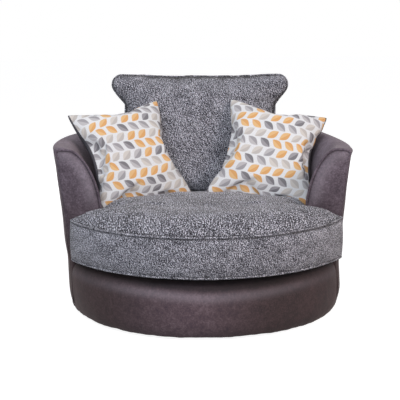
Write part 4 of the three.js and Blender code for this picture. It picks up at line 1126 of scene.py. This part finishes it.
def arm_facing(hand, name, node):
    """A padded panel over the arm board, crowned a little and rolled back along its edges."""
    inner, outer = facing_curves()
    outline = np.array(inner[::-1] + outer)
    columns = 18
    points, painted_shade, nap_and_highlight = [], [], []
    for a, b in zip(inner, outer):
        for share in (1 - np.cos(np.linspace(0, math.pi, columns))) / 2:
            radius, z = lerp(a[0], b[0], share), lerp(a[1], b[1], share)
            gap = outline_distance((radius, z), outline)
            above_seat = smoothstep(UPPER_WELT + 20 * mm, UPPER_WELT + 90 * mm, z)
            swell = above_seat * math.sin(math.pi * (1 - share) ** 1.6) * smoothstep(0, 30 * mm, gap)
            forward = ARM_FRONT - PIPING_NEST * (1 - smoothstep(0, PIPING_NEST, gap)) ** 2
            forward += FACING_CROWN * (1 - math.exp(-gap / (26 * mm)))
            forward += FACING_SWELL * swell
            forward += cloudy((radius, z, hand), 90 * mm, 6.2) * 0.8 * mm * smoothstep(0, 20 * mm, gap)
            points.append(plane_point(radius, z, forward, hand))
            # Painted shade beside the piping and a little over the outer half, and a painted highlight band
            # about 30 mm in from the piping above the seat.
            from_piping = share * math.dist(a, b)
            painted_shade.append(math.exp(-(from_piping / (8 * mm)) ** 2)
                          + 0.12 * float(smoothstep(0.5, 1.0, share)))
            nap_and_highlight.append(0.5 * above_seat * math.exp(-((from_piping - 30 * mm) / (26 * mm)) ** 2))
    piece = make_mesh(name, points, grid_faces(len(inner), columns), SUEDE)
    mark(piece, "painted_shade", painted_shade)
    mark(piece, "nap_and_highlight", nap_and_highlight)
    work = bmesh.new()
    work.from_mesh(piece.data)
    rim_edges = [e for e in work.edges if e.is_boundary]
    made = bmesh.ops.extrude_edge_only(work, edges=rim_edges)
    for vertex in (v for v in made["geom"] if isinstance(v, bmesh.types.BMVert)):
        radius = math.hypot(vertex.co.x, vertex.co.y)
        vertex.co = Vector(plane_point(radius, vertex.co.z, FACING_BACK, hand))
    work.to_mesh(piece.data)
    work.free()
    point_outwards(piece)
    settle_rim(piece, FACING_SETTLE)
    return dress(piece, "chair", "dark_suede", node, fill=0.9)


def outline_distance(point, outline):
    """Distance from a point to a closed outline."""
    p = np.asarray(point)
    a, b = outline, np.roll(outline, -1, axis=0)
    run = b - a
    share = np.clip(((p - a) * run).sum(1) / np.maximum((run ** 2).sum(1), 1e-12), 0, 1)
    return float(np.sqrt((((a + run * share[:, None]) - p) ** 2).sum(1).min()))


def facing_piping_path(hand):
    """From its outer end, tucked in under the shoulder, over the rim, down the scoop and to the deck."""
    path = []
    for drop, tuck in ((38 * mm, 10 * mm), (31 * mm, 5 * mm), (24 * mm, 2 * mm)):
        radius, z = facing_outside(FACING_RIM - drop)
        path.append((radius - tuck, z))
    for inset in np.linspace(0, 1, 9) ** 2 * SHOULDER_REACH:
        path.append((FACING_EDGE - inset, FACING_RIM - shoulder_drop(inset)))
    path += [facing_inside(turn) for turn in np.linspace(math.pi / 2, 0, 34)]
    path += [(TUB_RADIUS, z) for z in np.linspace(SCOOP_HEIGHT, DECK_TOP + 5 * mm, 16)[1:]]
    return [plane_point(radius, z, ARM_FRONT, hand) for radius, z in path]


def arm_piping(hand, name, node):
    """The suede piping between an arm's facing and the tub's inside."""
    path = facing_piping_path(hand)
    piece = follow(PIPING, name, path, SUEDE, length=6 * mm, gap=0.0, radius=PIPING_RADIUS + 0.8 * mm)
    point_outwards(piece)
    settle_rim(piece, FACING_SETTLE)
    return dress(piece, "chair", "dark_suede", node)


# Cushions


def inflate(piece, pressure, frames, cap, held=None, grow=0.0):
    """Swells a closed cloth with air for some frames, and lets no point move further than cap. held says how
    firmly each point is sewn down, and grow by what share the cloth is cut larger."""
    before = coords(piece)
    cloth = piece.modifiers.new("Cloth", "CLOTH")
    settings = cloth.settings
    settings.quality = 5
    settings.mass = 0.3
    settings.tension_stiffness = settings.compression_stiffness = 15
    settings.shear_stiffness = 8
    settings.bending_stiffness = 0.6
    settings.use_pressure = True
    settings.uniform_pressure_force = pressure
    settings.shrink_min = -grow
    settings.effector_weights.gravity = 0
    cloth.collision_settings.use_collision = False
    if held is not None:
        group = piece.vertex_groups.new(name="sewn")
        for index in np.nonzero(held > 0)[0]:
            group.add([int(index)], float(held[index]), "REPLACE")
        settings.vertex_group_mass = "sewn"
    cloth.point_cache.frame_start, cloth.point_cache.frame_end = 1, frames
    scene = bpy.context.scene
    for number in range(1, frames + 1):
        scene.frame_set(number)
    evaluated = piece.evaluated_get(bpy.context.evaluated_depsgraph_get())
    after = np.empty(len(before) * 3)
    evaluated.data.vertices.foreach_get("co", after)
    move = after.reshape(-1, 3) - before
    far = np.linalg.norm(move, axis=1, keepdims=True)
    move *= np.minimum(1, cap / np.maximum(far, 1e-9))
    piece.modifiers.remove(cloth)
    if held is not None:
        piece.vertex_groups.clear()
    set_coords(piece, before + move)
    scene.frame_set(1)


def tree_of(piece):
    """A finished piece's faces, ready to find the nearest one."""
    return BVHTree.FromPolygons([v.co.copy() for v in piece.data.vertices],
                                [tuple(f.vertices) for f in piece.data.polygons])


PRESS_REACH = 90 * mm  # how deep in a neighbour a point may lie and still be pushed out
PRESS_ROUNDS, SPREAD_STEPS, EASE_STEPS = 4, 14, 20


def press_against(piece, neighbours, gap):
    """Pushes a soft piece's points out of its neighbours, and eases the dent into the cloth round it."""
    links = np.empty(len(piece.data.edges) * 2, dtype=np.int64)
    piece.data.edges.foreach_get("vertices", links)
    links = links.reshape(-1, 2)
    points = before = coords(piece)
    degree = np.bincount(links.ravel(), minlength=len(points)).astype(float)[:, None]

    def shared(values):
        """The sum of each point's neighbours' values."""
        return np.column_stack([np.bincount(links.ravel(), values[links[:, ::-1].ravel(), k], len(points))
                                for k in range(3)])

    for step in range(PRESS_ROUNDS):
        move = np.zeros_like(points)
        for bvh in neighbours:
            for i, p in enumerate(points):
                place, normal, _, _ = bvh.find_nearest(Vector(p), PRESS_REACH)
                if place is None:
                    continue
                depth = (Vector(p) - place).dot(normal)
                if depth < gap:
                    move[i] += np.array(normal) * (gap - depth)
        pushed = np.linalg.norm(move, axis=1, keepdims=True) > 0
        if not pushed.any():
            break
        if step < PRESS_ROUNDS - 1:
            spread = move.copy()
            for _ in range(SPREAD_STEPS):
                spread = np.where(pushed, move, shared(spread) / degree)
            move = spread
        points = points + move
        if step == PRESS_ROUNDS - 2:
            shift = points - before
            for _ in range(EASE_STEPS):
                shift = lerp(shift, shared(shift) / degree, 0.6)
            points = before + shift
    set_coords(piece, points)


def seat_outline(grow, count):
    """The seat cushion from above, counter-clockwise from the middle of its back, as count points evenly
    spaced and its length round. grow makes it larger all round."""
    front, inner, back = SEAT_FRONT_RADIUS + grow, SEAT_INNER_RADIUS + grow, EAR_BACK - grow
    tip, root = math.sqrt(front ** 2 - back ** 2), math.sqrt(inner ** 2 - back ** 2)
    front_end = math.asin(back / front) + EAR_CORNER / front
    inner_end = math.asin(back / inner) - EAR_ROOT / inner

    def arc(radius, start, end, steps):
        return [(radius * math.cos(a), radius * math.sin(a)) for a in np.linspace(start, end, steps)]

    def bend(a, b, c):
        return [tuple((1 - t) ** 2 * np.array(a) + 2 * t * (1 - t) * np.array(b) + t * t * np.array(c))
                for t in np.linspace(0, 1, 9)]

    left = arc(inner, math.pi / 2, math.pi + inner_end, 120)
    left += bend(left[-1], (-root, -back), (-root - EAR_ROOT, -back))
    ear = (-front * math.cos(front_end), -front * math.sin(front_end))
    left += bend((-tip + EAR_CORNER, -back), (-tip, -back), ear)
    nose = arc(front, math.pi + front_end, 3 * math.pi / 2, 90)
    half = left + nose
    path = half + [(-x, y) for x, y in half[::-1]]
    dense = np.array(path)
    keep = np.concatenate([[True], np.linalg.norm(np.diff(dense, axis=0), axis=1) > 1e-6])
    dense = dense[keep]
    run = np.concatenate([[0], np.cumsum(np.linalg.norm(np.diff(dense, axis=0), axis=1))])
    even = np.linspace(0, run[-1], count, endpoint=False)
    return np.column_stack([np.interp(even, run, dense[:, 0]), np.interp(even, run, dense[:, 1])]), run[-1]


SEAT_COLUMNS = 320
BORDER_RISE = UPPER_WELT - LOWER_WELT
SEAT_CENTRE = np.array([0.0, -290 * mm])
TOP_THREAD_SHARE = 0.72  # the pile of the top is drawn this much coarser, as it is seen at a slant
FRONT_LIFT = 8 * mm  # the welt under the nose is lifted this far off the border's roll
SEAT_SLIDE = 10.5 * mm  # the loose cushion lies this far to one side in front of the arms
SEAT_EDGE_ROUND, SEAT_EDGE_REACH = 50 * mm, 110 * mm
SEAT_DOME, SEAT_DOME_REACH, SEAT_DOME_PEAK = 21 * mm, 550 * mm, -160 * mm
BACK_PRESSES = 0.50  # the share of the crown that the back cushion presses down
SCATTERS_PRESS = 12 * mm


def seat_crown(x, y, gap):
    """How far the filled top stands over its welt: round at the edge, domed, and pressed down under the back
    cushion and the two scatter cushions."""
    inwards = np.clip(gap / SEAT_EDGE_REACH, 0, 1)
    edge = SEAT_EDGE_ROUND * (1 - (1 - inwards) ** 2)
    dome = SEAT_DOME * np.clip(1 - (x ** 2 + (y - SEAT_DOME_PEAK) ** 2) / SEAT_DOME_REACH ** 2, 0, 1)
    under_back = BACK_PRESSES * smoothstep(-50 * mm, 230 * mm, y)
    dip = SCATTERS_PRESS * smoothstep(80 * mm, 280 * mm, np.abs(x)) * smoothstep(-180 * mm, 20 * mm, y)
    return (edge + dome) * (1 - under_back) - dip * inwards


def lift_nose(points):
    """Lifts the lower welt at the front, where the cushion overhangs the drum."""
    high = 1 - smoothstep(LOWER_WELT - 1 * mm, UPPER_WELT - 40 * mm, points[:, 2])
    points[:, 2] += FRONT_LIFT * high * smoothstep(180 * mm, 400 * mm, -points[:, 1])
    return points


def slide_ears(points):
    """Moves what lies in front of the arms sideways, as a loose cushion has shifted."""
    points[:, 0] += SEAT_SLIDE * smoothstep(-140 * mm, -220 * mm, points[:, 1])
    return points


# Shares of the way out from the centre, up the border, and back in over the top, where the seat's rings lie.
UNDERSIDE_RINGS = (0.02, 0.25, 0.5, 0.7, 0.85, 0.93, 0.975)
BORDER_RINGS = (0.02, 0.045, 0.08, 0.14, 0.22, 0.31, 0.4, 0.5, 0.6, 0.69, 0.78, 0.85, 0.9, 0.93, 0.955, 0.98)
TOP_RINGS = (0.992, 0.975, 0.95, 0.925, 0.90, 0.87, 0.84, 0.80, 0.76, 0.71, 0.66, 0.60, 0.53, 0.46, 0.38,
             0.30, 0.21, 0.12, 0.02)
BORDER_HIGHLIGHT_LEFT, BORDER_HIGHLIGHT_RIGHT, TOP_HIGHLIGHT = 0.18, 0.26, 0.40  # how strong the painted highlight is there
UNDERSIDE_CLOTH, TOP_CLOTH = [5, 0], [9, 0]  # where their sheets lie on the roll, clear of the border's strip


def outwards_from_centre(edge):
    """Unit directions from the seat's centre to the points of its edge."""
    away = edge - SEAT_CENTRE
    return away / np.linalg.norm(away, axis=1, keepdims=True)


def seat_rings():
    """The boxed cushion as sewn: flat underside, upright border between two welts, and crowned top. Gives the
    points ring by ring, and for each ring how firmly it is held and how far up the border it runs, or
    None."""
    count = SEAT_COLUMNS
    edge, under = seat_outline(0, count)[0], seat_outline(-PIPING_NEST, count)[0]
    away = outwards_from_centre(edge)
    rings, holds, runs = [], [], []

    def ring(flat, z, hold, run=None):
        rings.append(np.column_stack([flat, z * np.ones(count)]))
        holds.append(hold)
        runs.append(run)

    for share in UNDERSIDE_RINGS:
        ring(SEAT_CENTRE + (under - SEAT_CENTRE) * share, SEAT_BOTTOM + 6 * mm * share ** 8, 1.0)
    ring(under, LOWER_WELT, 1.0)
    corner = np.array([smoothstep(0, 70 * mm, np.hypot(abs(x) - 540 * mm, y + EAR_BACK)) for x, y in edge])
    for share in BORDER_RINGS:
        belly = (1 + 6 * corner * math.sin(math.pi * share) ** 0.7) * mm
        run = BORDER_RISE * share
        ring(edge + away * (belly - 3 * mm)[:, None], LOWER_WELT + run, 0.0, run)
    ring(under, UPPER_WELT, 1.0)
    for share in TOP_RINGS:
        flat = SEAT_CENTRE + (under - SEAT_CENTRE) * share
        gap = np.array([outline_distance(p, under) for p in flat])
        ring(flat, UPPER_WELT + 0.5 * mm + seat_crown(flat[:, 0], flat[:, 1], gap),
             0.0 if share > 0.4 else 0.8)
    return lift_nose(slide_ears(np.concatenate(rings))), holds, runs


def lay_seat_cloth(shell, points, runs, welt_row):
    """Gives the seat its weave, in metres: the underside is cut flat, the top runs out from its middle, and
    the border is a straight strip. points are its rings' and welt_row is the ring of the upper welt."""
    count = SEAT_COLUMNS
    edge, around = seat_outline(0, count)
    arc = np.linspace(0, around, count + 1)
    ladder = points.reshape(len(runs), count, 3)
    steps = np.linalg.norm(np.diff(ladder[welt_row:], axis=0), axis=2)[::-1].cumsum(axis=0)[::-1]
    out = (outwards_from_centre(edge)[None] * steps[:, :, None]).reshape(-1, 2)
    cut = points[:, :2] + UNDERSIDE_CLOTH
    cut[welt_row * count:-count] = out * TOP_THREAD_SHARE + TOP_CLOTH
    cut[-count:] = TOP_CLOTH
    cut = np.vstack([cut, cut[:count].mean(0), TOP_CLOTH])
    layer = shell.data.uv_layers.new(name="weave")
    for face in shell.data.polygons:
        corners = list(face.vertices)
        on_border = len(corners) == 4 and any(runs[i // count] is not None for i in corners)
        wraps = {i % count for i in corners} == {0, count - 1}
        for loop, i in zip(face.loop_indices, corners):
            if on_border:
                row, column = divmod(i, count)
                run = runs[row] if runs[row] is not None else (0.0 if row < welt_row else BORDER_RISE)
                layer.data[loop].uv = (arc[count if wraps and column == 0 else column], run)
            else:
                layer.data[loop].uv = cut[i]


def mark_seat(shell, points, runs, welt_row):
    """Paints shade beside the welts, a faint painted shade over the top except at its back and on the
    border's middle, and painted highlights at the border's sides and on the top's back.
    """
    count = SEAT_COLUMNS
    painted_shade = [0.0 if run is None else
              math.exp(-((BORDER_RISE - run) / (7 * mm)) ** 2) + 0.5 * math.exp(-(run / (6 * mm)) ** 2)
              for run in runs]
    painted_shade[welt_row] = 1.0
    painted_shade = np.append(np.repeat(painted_shade, count), [0.0, 0.1])
    top = slice((welt_row + 1) * count, -2)
    painted_shade[top] = 0.12 * (1 - smoothstep(50 * mm, 150 * mm, points[top, 1]))
    aside = smoothstep(220 * mm, 500 * mm, np.abs(points[:, 0]))
    border = np.append(np.repeat([run is not None for run in runs], count), [False, False])
    mark(shell, "painted_shade", np.where(border, np.minimum(1, painted_shade + 0.05 * (1 - aside)), painted_shade))
    on_border = aside * np.where(points[:, 0] > 0, BORDER_HIGHLIGHT_RIGHT, BORDER_HIGHLIGHT_LEFT)
    mark(shell, "nap_and_highlight", np.where(border, on_border, TOP_HIGHLIGHT * smoothstep(-200 * mm, 100 * mm, points[:, 1])))


def seat_shell():
    """The sewn cover as a mesh, with a pole in the middle of its underside and of its top, and how firmly
    each point is held."""
    count = SEAT_COLUMNS
    points, holds, runs = seat_rings()
    welt_row = max(i for i, run in enumerate(runs) if run is not None) + 1
    faces = grid_faces(len(runs), count, close_columns=True)
    poles = [len(points), len(points) + 1]
    last = (len(runs) - 1) * count
    for j in range(count):
        k = (j + 1) % count
        faces += [(k, j, poles[0]), (last + j, last + k, poles[1])]
    with_poles = np.vstack([points, points[:count].mean(0), points[last:].mean(0)])
    shell = make_mesh("seat_cushion_cover", with_poles, faces, CHENILLE)
    lay_seat_cloth(shell, points, runs, welt_row)
    mark_seat(shell, with_poles, runs, welt_row)
    work = bmesh.new()
    work.from_mesh(shell.data)
    face_out(work)
    work.to_mesh(shell.data)
    work.free()
    return shell, np.append(np.repeat(holds, count), [1.0, 0.8])


def seat_cushion():
    """The boxed seat cushion, filled: its border bellies a little, and its border and top lie unevenly."""
    piece, held = seat_shell()
    inflate(piece, pressure=3.0, frames=18, cap=7 * mm, held=held, grow=0.015)

    def give(p):
        side = smoothstep(LOWER_WELT, LOWER_WELT + 30 * mm, p[2])
        side *= 1 - smoothstep(UPPER_WELT - 30 * mm, UPPER_WELT, p[2])
        arc = math.atan2(p[1], p[0]) * math.hypot(p[0], p[1])
        ripple = noise.noise(Vector((arc / (55 * mm), p[2] / (200 * mm), 1.9))) * 2.2 * mm * side
        top = smoothstep(UPPER_WELT + 6 * mm, UPPER_WELT + 30 * mm, p[2])
        return ripple + cloudy(p, 170 * mm, 3.3) * 2.4 * mm * top

    ruffle(piece, give)
    return dress(piece, "seat", "grey_chenille", "seat_cushion", fill=0.85)


def seat_piping(z, name, node):
    """A welt of the seat cushion at a height, sagging a little along the seam."""
    outline = seat_outline(-2.5 * mm, 420)[0]
    sag = [noise.noise(Vector((x / (170 * mm), y / (170 * mm), z * 9))) * 1.0 * mm for x, y in outline]
    path = lift_nose(slide_ears(np.array([(x, y, z + s) for (x, y), s in zip(outline, sag)])))
    piece = follow(PIPING, name, path, CHENILLE, length=8 * mm, gap=0.0, radius=PIPING_RADIUS, closed=True)
    point_outwards(piece)
    lay_cord_cloth(piece, path)
    return dress(piece, "seat", "grey_chenille", node)


def sewn_sheets(name, columns, rows, place, materials, turned=None):
    """Two cloth sheets on one grid, sewn together round the edge. place(u, v, side) gives a point. The back
    sheet turns over the seam by one row in the column named turned."""
    steps_u, steps_v = np.linspace(-1, 1, columns), np.linspace(-1, 1, rows)
    points, flat, index = [], [], {}
    for side in (-1, 1):
        for j, v in enumerate(steps_v):
            for i, u in enumerate(steps_u):
                seam = i in (0, columns - 1) or j in (0, rows - 1)
                key = (i, j, 0 if seam else side)
                if key not in index:
                    index[key] = len(points)
                    points.append(place(u, v, 0 if seam else side))
                    flat.append(place(u, v, 0)[::2])
    faces, kinds = [], []

    def at(i, j, side):
        """The point of a sheet, which on the seam belongs to both."""
        return index.get((i, j, side), index.get((i, j, 0)))

    for side in (-1, 1):
        for j in range(rows - 1):
            for i in range(columns - 1):
                faces.append((at(i, j, side), at(i + 1, j, side), at(i + 1, j + 1, side), at(i, j + 1, side)))
                kinds.append(0 if side < 0 and i != turned else len(materials) - 1)
    piece = make_mesh(name, points, faces, *materials)
    piece.data.polygons.foreach_set("material_index", kinds)
    seam = [index[(i, 0, 0)] for i in range(columns)]
    seam += [index[(columns - 1, j, 0)] for j in range(1, rows)]
    seam += [index[(i, rows - 1, 0)] for i in range(columns - 2, -1, -1)]
    seam += [index[(0, j, 0)] for j in range(rows - 2, 0, -1)]
    work = bmesh.new()
    work.from_mesh(piece.data)
    face_out(work)
    work.to_mesh(piece.data)
    work.free()
    write_weave(piece, np.array(flat))
    return piece, seam


def back_half_width(z):
    """Half the back cushion's width at a height above its middle: a straight body with wings at the top."""
    top = BACK_CUSHION_HEIGHT / 2
    corner, wing_low, notch, round_foot = 46 * mm, top - 56 * mm, top - 132 * mm, 60 * mm
    if z > top - corner:
        return BACK_HALF_WING - corner + math.sqrt(max(corner ** 2 - (z - top + corner) ** 2, 0))
    if z > wing_low:
        return BACK_HALF_WING
    if z > notch:
        return lerp(BACK_HALF_BODY, BACK_HALF_WING, float(smoothstep(notch - 14 * mm, wing_low + 8 * mm, z)))
    low = z + top
    if low < round_foot:
        return BACK_HALF_BODY - round_foot + math.sqrt(max(round_foot ** 2 - (round_foot - low) ** 2, 0))
    return BACK_HALF_BODY


BACK_COLUMNS, BACK_ROWS = 64, 52
BACK_THICKNESS = 205 * mm
BACK_FOOT_FORWARD, BACK_FOOT_DOWN = 24 * mm, 9 * mm  # how far its foot has slid forward on the seat


def back_cushion(neighbours):
    """A winged pillow: two T-shaped sheets piped together, filled, bowed round the tub and leaned back."""
    half_high = BACK_CUSHION_HEIGHT / 2

    def place(u, v, side):
        z = half_high * math.sin(math.pi / 2 * v) if abs(v) < 1 else half_high * v
        x = math.sin(math.pi / 2 * u) * back_half_width(z)
        full = 0.42 if z > 0 else 0.28
        puff = (1 - (x / back_half_width(z)) ** 2) ** 0.42 * (1 - (z / half_high) ** 2) ** full if side else 0
        return (x, side * puff * BACK_THICKNESS / 2, z)

    piece, seam = sewn_sheets("back_cushion_cover", BACK_COLUMNS, BACK_ROWS, place, [CHENILLE])
    held = np.zeros(len(piece.data.vertices))
    held[seam] = 1.0
    painted_shade, nap_and_highlight = [], []
    for x, _, z in coords(piece):
        # Painted shade beside the piped seam, and a painted highlight across the foot.
        from_seam = min(back_half_width(z) - abs(x), half_high - abs(z))
        painted_shade.append(math.exp(-(from_seam / (6 * mm)) ** 2))
        nap_and_highlight.append(0.25 * math.exp(-((z + half_high - 50 * mm) / (75 * mm)) ** 2))
    mark(piece, "painted_shade", painted_shade)
    mark(piece, "nap_and_highlight", nap_and_highlight)
    inflate(piece, pressure=3.5, frames=18, cap=26 * mm, held=held, grow=0.025)
    points = coords(piece)
    beside_middle = np.exp(-((np.abs(points[:, 0]) - 170 * mm) / (70 * mm)) ** 2)
    points[:, 2] -= 3 * mm * beside_middle * smoothstep(100 * mm, half_high, points[:, 2])
    points[:, 1] -= BACK_BOW * (points[:, 0] / BACK_HALF_WING) ** 2
    foot = 1 - smoothstep(-half_high + 10 * mm, -half_high + 150 * mm, points[:, 2])
    points[:, 1] -= BACK_FOOT_FORWARD * foot
    points[:, 2] -= BACK_FOOT_DOWN * foot
    set_coords(piece, points)
    ruffle(piece, lambda p: cloudy(p, 140 * mm, 7.7) * 3.0 * mm)
    turn = Matrix.Translation(BACK_MIDDLE + Vector((BACK_SLIDE, 0, 0))) @ Matrix.Rotation(-BACK_LEAN, 4, "X")
    piece.data.transform(turn @ Matrix.Rotation(BACK_ROLL, 4, "Y"))
    press_against(piece, neighbours, 1.2 * mm)
    path = coords(piece)[seam]
    cord = follow(PIPING, "back_cushion_piping", path + normals(piece)[seam] * 1.0 * mm, CHENILLE,
                  length=8 * mm, gap=0.0, radius=PIPING_RADIUS - 0.5 * mm, closed=True)
    point_outwards(cord)
    lay_cord_cloth(cord, path)
    subdivide(piece)
    dress(cord, "back", "grey_chenille")
    return dress(piece, "back", "grey_chenille", "back_cushion", fill=0.75)


SCATTER_POINTS = 46  # along each side of the square
SCATTER_HALF_THICKNESS = 74 * mm


def scatter_cushion(name, node, spot, neighbours):
    """A knife-edge cushion: a printed square and a plain one, sewn round and filled, corners and all. The
    cloth is cut 3 % larger than the filled cushion, with sides that bow out so that they come out
    straight."""
    half = SCATTER_SIDE / 2
    cut, bow = half * 1.03, 0.075
    outer_column = 0 if spot["hand"] < 0 else SCATTER_POINTS - 2

    def place(u, v, side):
        puff = ((1 - u ** 2) * (1 - v ** 2)) ** 0.5 if side else 0
        return (u * cut * (1 + bow * (1 - v ** 2)), side * puff * 50 * mm, v * cut * (1 + bow * (1 - u ** 2)))

    piece, seam = sewn_sheets(name, SCATTER_POINTS, SCATTER_POINTS, place, [PRINT, CHARCOAL],
                              turned=outer_column)
    inflate(piece, pressure=4.5, frames=22, cap=60 * mm)
    points = coords(piece)
    points -= points.mean(0)
    corners = points[[seam[corner * (SCATTER_POINTS - 1)] for corner in range(4)]]
    points[:, 0] *= half / np.abs(corners[:, 0]).mean()
    points[:, 2] *= half / np.abs(corners[:, 2]).mean()
    points[:, 1] -= corners[:, 1].mean()
    points[:, 1] *= SCATTER_HALF_THICKNESS / np.abs(points[:, 1]).max()
    set_coords(piece, points)
    turn = (Matrix.Rotation(math.radians(spot["turn"]), 4, "Z")
            @ Matrix.Rotation(-math.radians(spot["lean"]), 4, "X")
            @ Matrix.Rotation(math.radians(spot["roll"]), 4, "Y"))
    middle = Vector((spot["hand"] * (TUB_RADIUS - spot["from_arm"]), TUB_RADIUS - spot["from_back"],
                     UPPER_WELT + spot["rise"]))
    piece.data.transform(Matrix.Translation(middle) @ turn)
    press_against(piece, neighbours, 1.2 * mm)
    points = coords(piece)
    for index, aside, up, reach in spot["shape"]:
        near = np.exp(-(np.linalg.norm(points - points[seam[index]], axis=1) / reach) ** 2)
        points += near[:, None] * np.array([aside, 0, up]) * mm
    set_coords(piece, points)
    subdivide(piece)
    return dress(piece, name, "printed_cotton", node, fill=0.7)


# Linings


def disc(name, material, inner, outer, bottom, top, wave):
    """A round lining with a slightly uneven face. One without a hole keeps a pinprick of 4 mm in it."""
    count = 144
    radii = np.linspace(max(inner, 2 * mm), outer, 26)
    points = []
    for radius, z, uneven in [(r, top, 1) for r in radii] + [(r, bottom, 0) for r in radii[::-1]]:
        for a in np.linspace(0, 2 * math.pi, count, endpoint=False):
            x, y = radius * math.cos(a), radius * math.sin(a)
            lift = wave * (noise.noise(Vector((x / (90 * mm), y / (90 * mm), 2.2))) - 1)
            points.append((x, y, z + lift * smoothstep(0, 30 * mm, outer - radius) * uneven))
    piece = make_mesh(name, points, grid_faces(2 * len(radii), count, close_rows=True, close_columns=True),
                      material)
    point_outwards(piece)
    return piece


DUST_COVER_HOLE = 215 * mm


def linings():
    """The platform cloth over its felt pad, and the dust cover under the chair with its row of staples."""
    deck = disc("platform_cloth_sheet", LINING, 0, DECK_RADIUS, DECK_TOP - 2.6 * mm, DECK_TOP, 0.4 * mm)
    dress(deck, "chair", "black_lining", "platform_cloth", fill=0.2)
    pad = disc("deck_felt_pad", FELT, 0, DECK_RADIUS, PAD_BOTTOM, DECK_TOP - 3.4 * mm, 0.0)
    dress(pad, "chair", "felt", "deck_pad", fill=0.3)
    cover = disc("dust_cover_sheet", LINING, DUST_COVER_HOLE, COVER_RADIUS, COVER_FLOOR, COVER_FLOOR + 2 * mm,
                 0.0)
    dress(cover, "chair", "black_lining", "dust_cover", fill=0.1)
    row = COVER_RADIUS - 6 * mm
    ring = [(math.cos(a) * row, math.sin(a) * row, COVER_FLOOR - 0.3 * mm)
            for a in np.linspace(0, 2 * math.pi, 220, endpoint=False)]
    staples = follow(STITCHES, "dust_cover_staples", ring, ZINC, length=10 * mm, gap=26 * mm, radius=0.6 * mm,
                     closed=True)
    dress(staples, "chair", "zinc_steel")


def cloth_turnover():
    """In front of the arms the platform cloth runs on over the hoop board and is stapled to the border."""
    top, low = DECK_TOP + 0.25 * mm, BORDER_TOP + 1.3 * mm
    profile = [(DECK_RADIUS - 12 * mm, top - 0.2 * mm), (DECK_RADIUS - 11 * mm, top),
               (DECK_RADIUS + 0.5 * mm, top), (HOOP_OUTER - 7 * mm, lerp(low, top, 0.3)),
               (HOOP_OUTER + 2 * mm, low), (HOOP_OUTER + 5 * mm, low - 0.4 * mm),
               (HOOP_OUTER + 5 * mm, low - 0.8 * mm), (HOOP_OUTER - 7 * mm, low - 0.7 * mm),
               (DECK_RADIUS + 0.5 * mm, top - 0.7 * mm)]
    turns = np.linspace(0, 1, 145)
    points = []
    for radius, z in profile:
        end = math.asin((ARM_FRONT - 6 * mm) / radius)
        angle = -lerp(end, math.pi - end, turns)
        points.append(np.column_stack([radius * np.cos(angle), radius * np.sin(angle),
                                       np.full_like(angle, z)]))
    columns = len(turns)
    faces = grid_faces(len(profile), columns, close_rows=True)
    first = [row * columns for row in range(len(profile))]
    faces += [tuple(first), tuple(i + columns - 1 for i in first[::-1])]
    piece = make_mesh("platform_cloth_turnover", np.concatenate(points), faces, LINING)
    point_outwards(piece)
    dress(piece, "chair", "black_lining")


def turn_at(share, radius):
    """The angle at a share of the way round a wall of one radius."""
    end = -math.asin(WALL_FRONT / radius)
    return lerp(end, math.pi - end, share)


def seam_stitches():
    """Twin rows of topstitching beside the outer cover's upright seams."""
    paths = []
    for seam in OUTER_SEAMS:
        for side in (-1, 1):
            share = seam + side * 1.9 * SEAM_STEP
            path = []
            for height_share in np.linspace(0.02, 0.985, 70):
                angle = turn_at(share, RIM_RADIUS)
                z = lerp(BULGE_HEIGHT * 0.5, float(rim_height(np.float64(angle))) - LIP_DROP, height_share)
                radius = float(wall_radius(np.float64(z), angle)) + 0.3 * mm
                angle = turn_at(share, radius)
                path.append((radius * math.cos(angle), radius * math.sin(angle), z))
            paths.append(path)
    for i, path in enumerate(paths):
        piece = follow(STITCHES, f"outer_seam_stitches_{i + 1}", path, THREAD, length=5 * mm, gap=2 * mm,
                       radius=0.5 * mm)
        dress(piece, "chair", "dark_suede")


# Putting it together

FINISH_OF_SLOT = {"plywood": PLYWOOD, "black_plastic": PLASTIC, "zinc_steel": ZINC,
                  "spring_steel": SPRING_WIRE, "felt": FELT, "black_lining": LINING, "dark_suede": SUEDE,
                  "grey_chenille": CHENILLE, "printed_cotton": PRINT}

for entry in frame["record"]["subparts"]:
    node = frame["nodes"][entry["node"]]
    node.data.materials.clear()
    node.data.materials.append(FINISH_OF_SLOT[entry["material_slot"]])

outer_cover()
wall = inner_wall()
front_border()
linings()
cloth_turnover()
ARMS = ((-1, "left"), (1, "right"))
for hand, side in ARMS:
    arm_facing(hand, f"arm_facing_panel_{side}", f"arm_facing_{side}")
for hand, side in ARMS:
    arm_piping(hand, f"arm_piping_cord_{side}", f"arm_piping_{side}")
seam_stitches()
seat = seat_cushion()
seat_piping(UPPER_WELT, "seat_piping_cord_upper", "seat_piping_upper")
seat_piping(LOWER_WELT, "seat_piping_cord_lower", "seat_piping_lower")
seat_tree, wall_tree = tree_of(seat), tree_of(wall)
back = back_cushion([seat_tree, wall_tree])
back_tree = tree_of(back)
for name, spot in SCATTERS.items():
    node = name.replace("scatter_", "scatter_cushion_")
    scatter_cushion(name, node, spot, [seat_tree, wall_tree, back_tree])
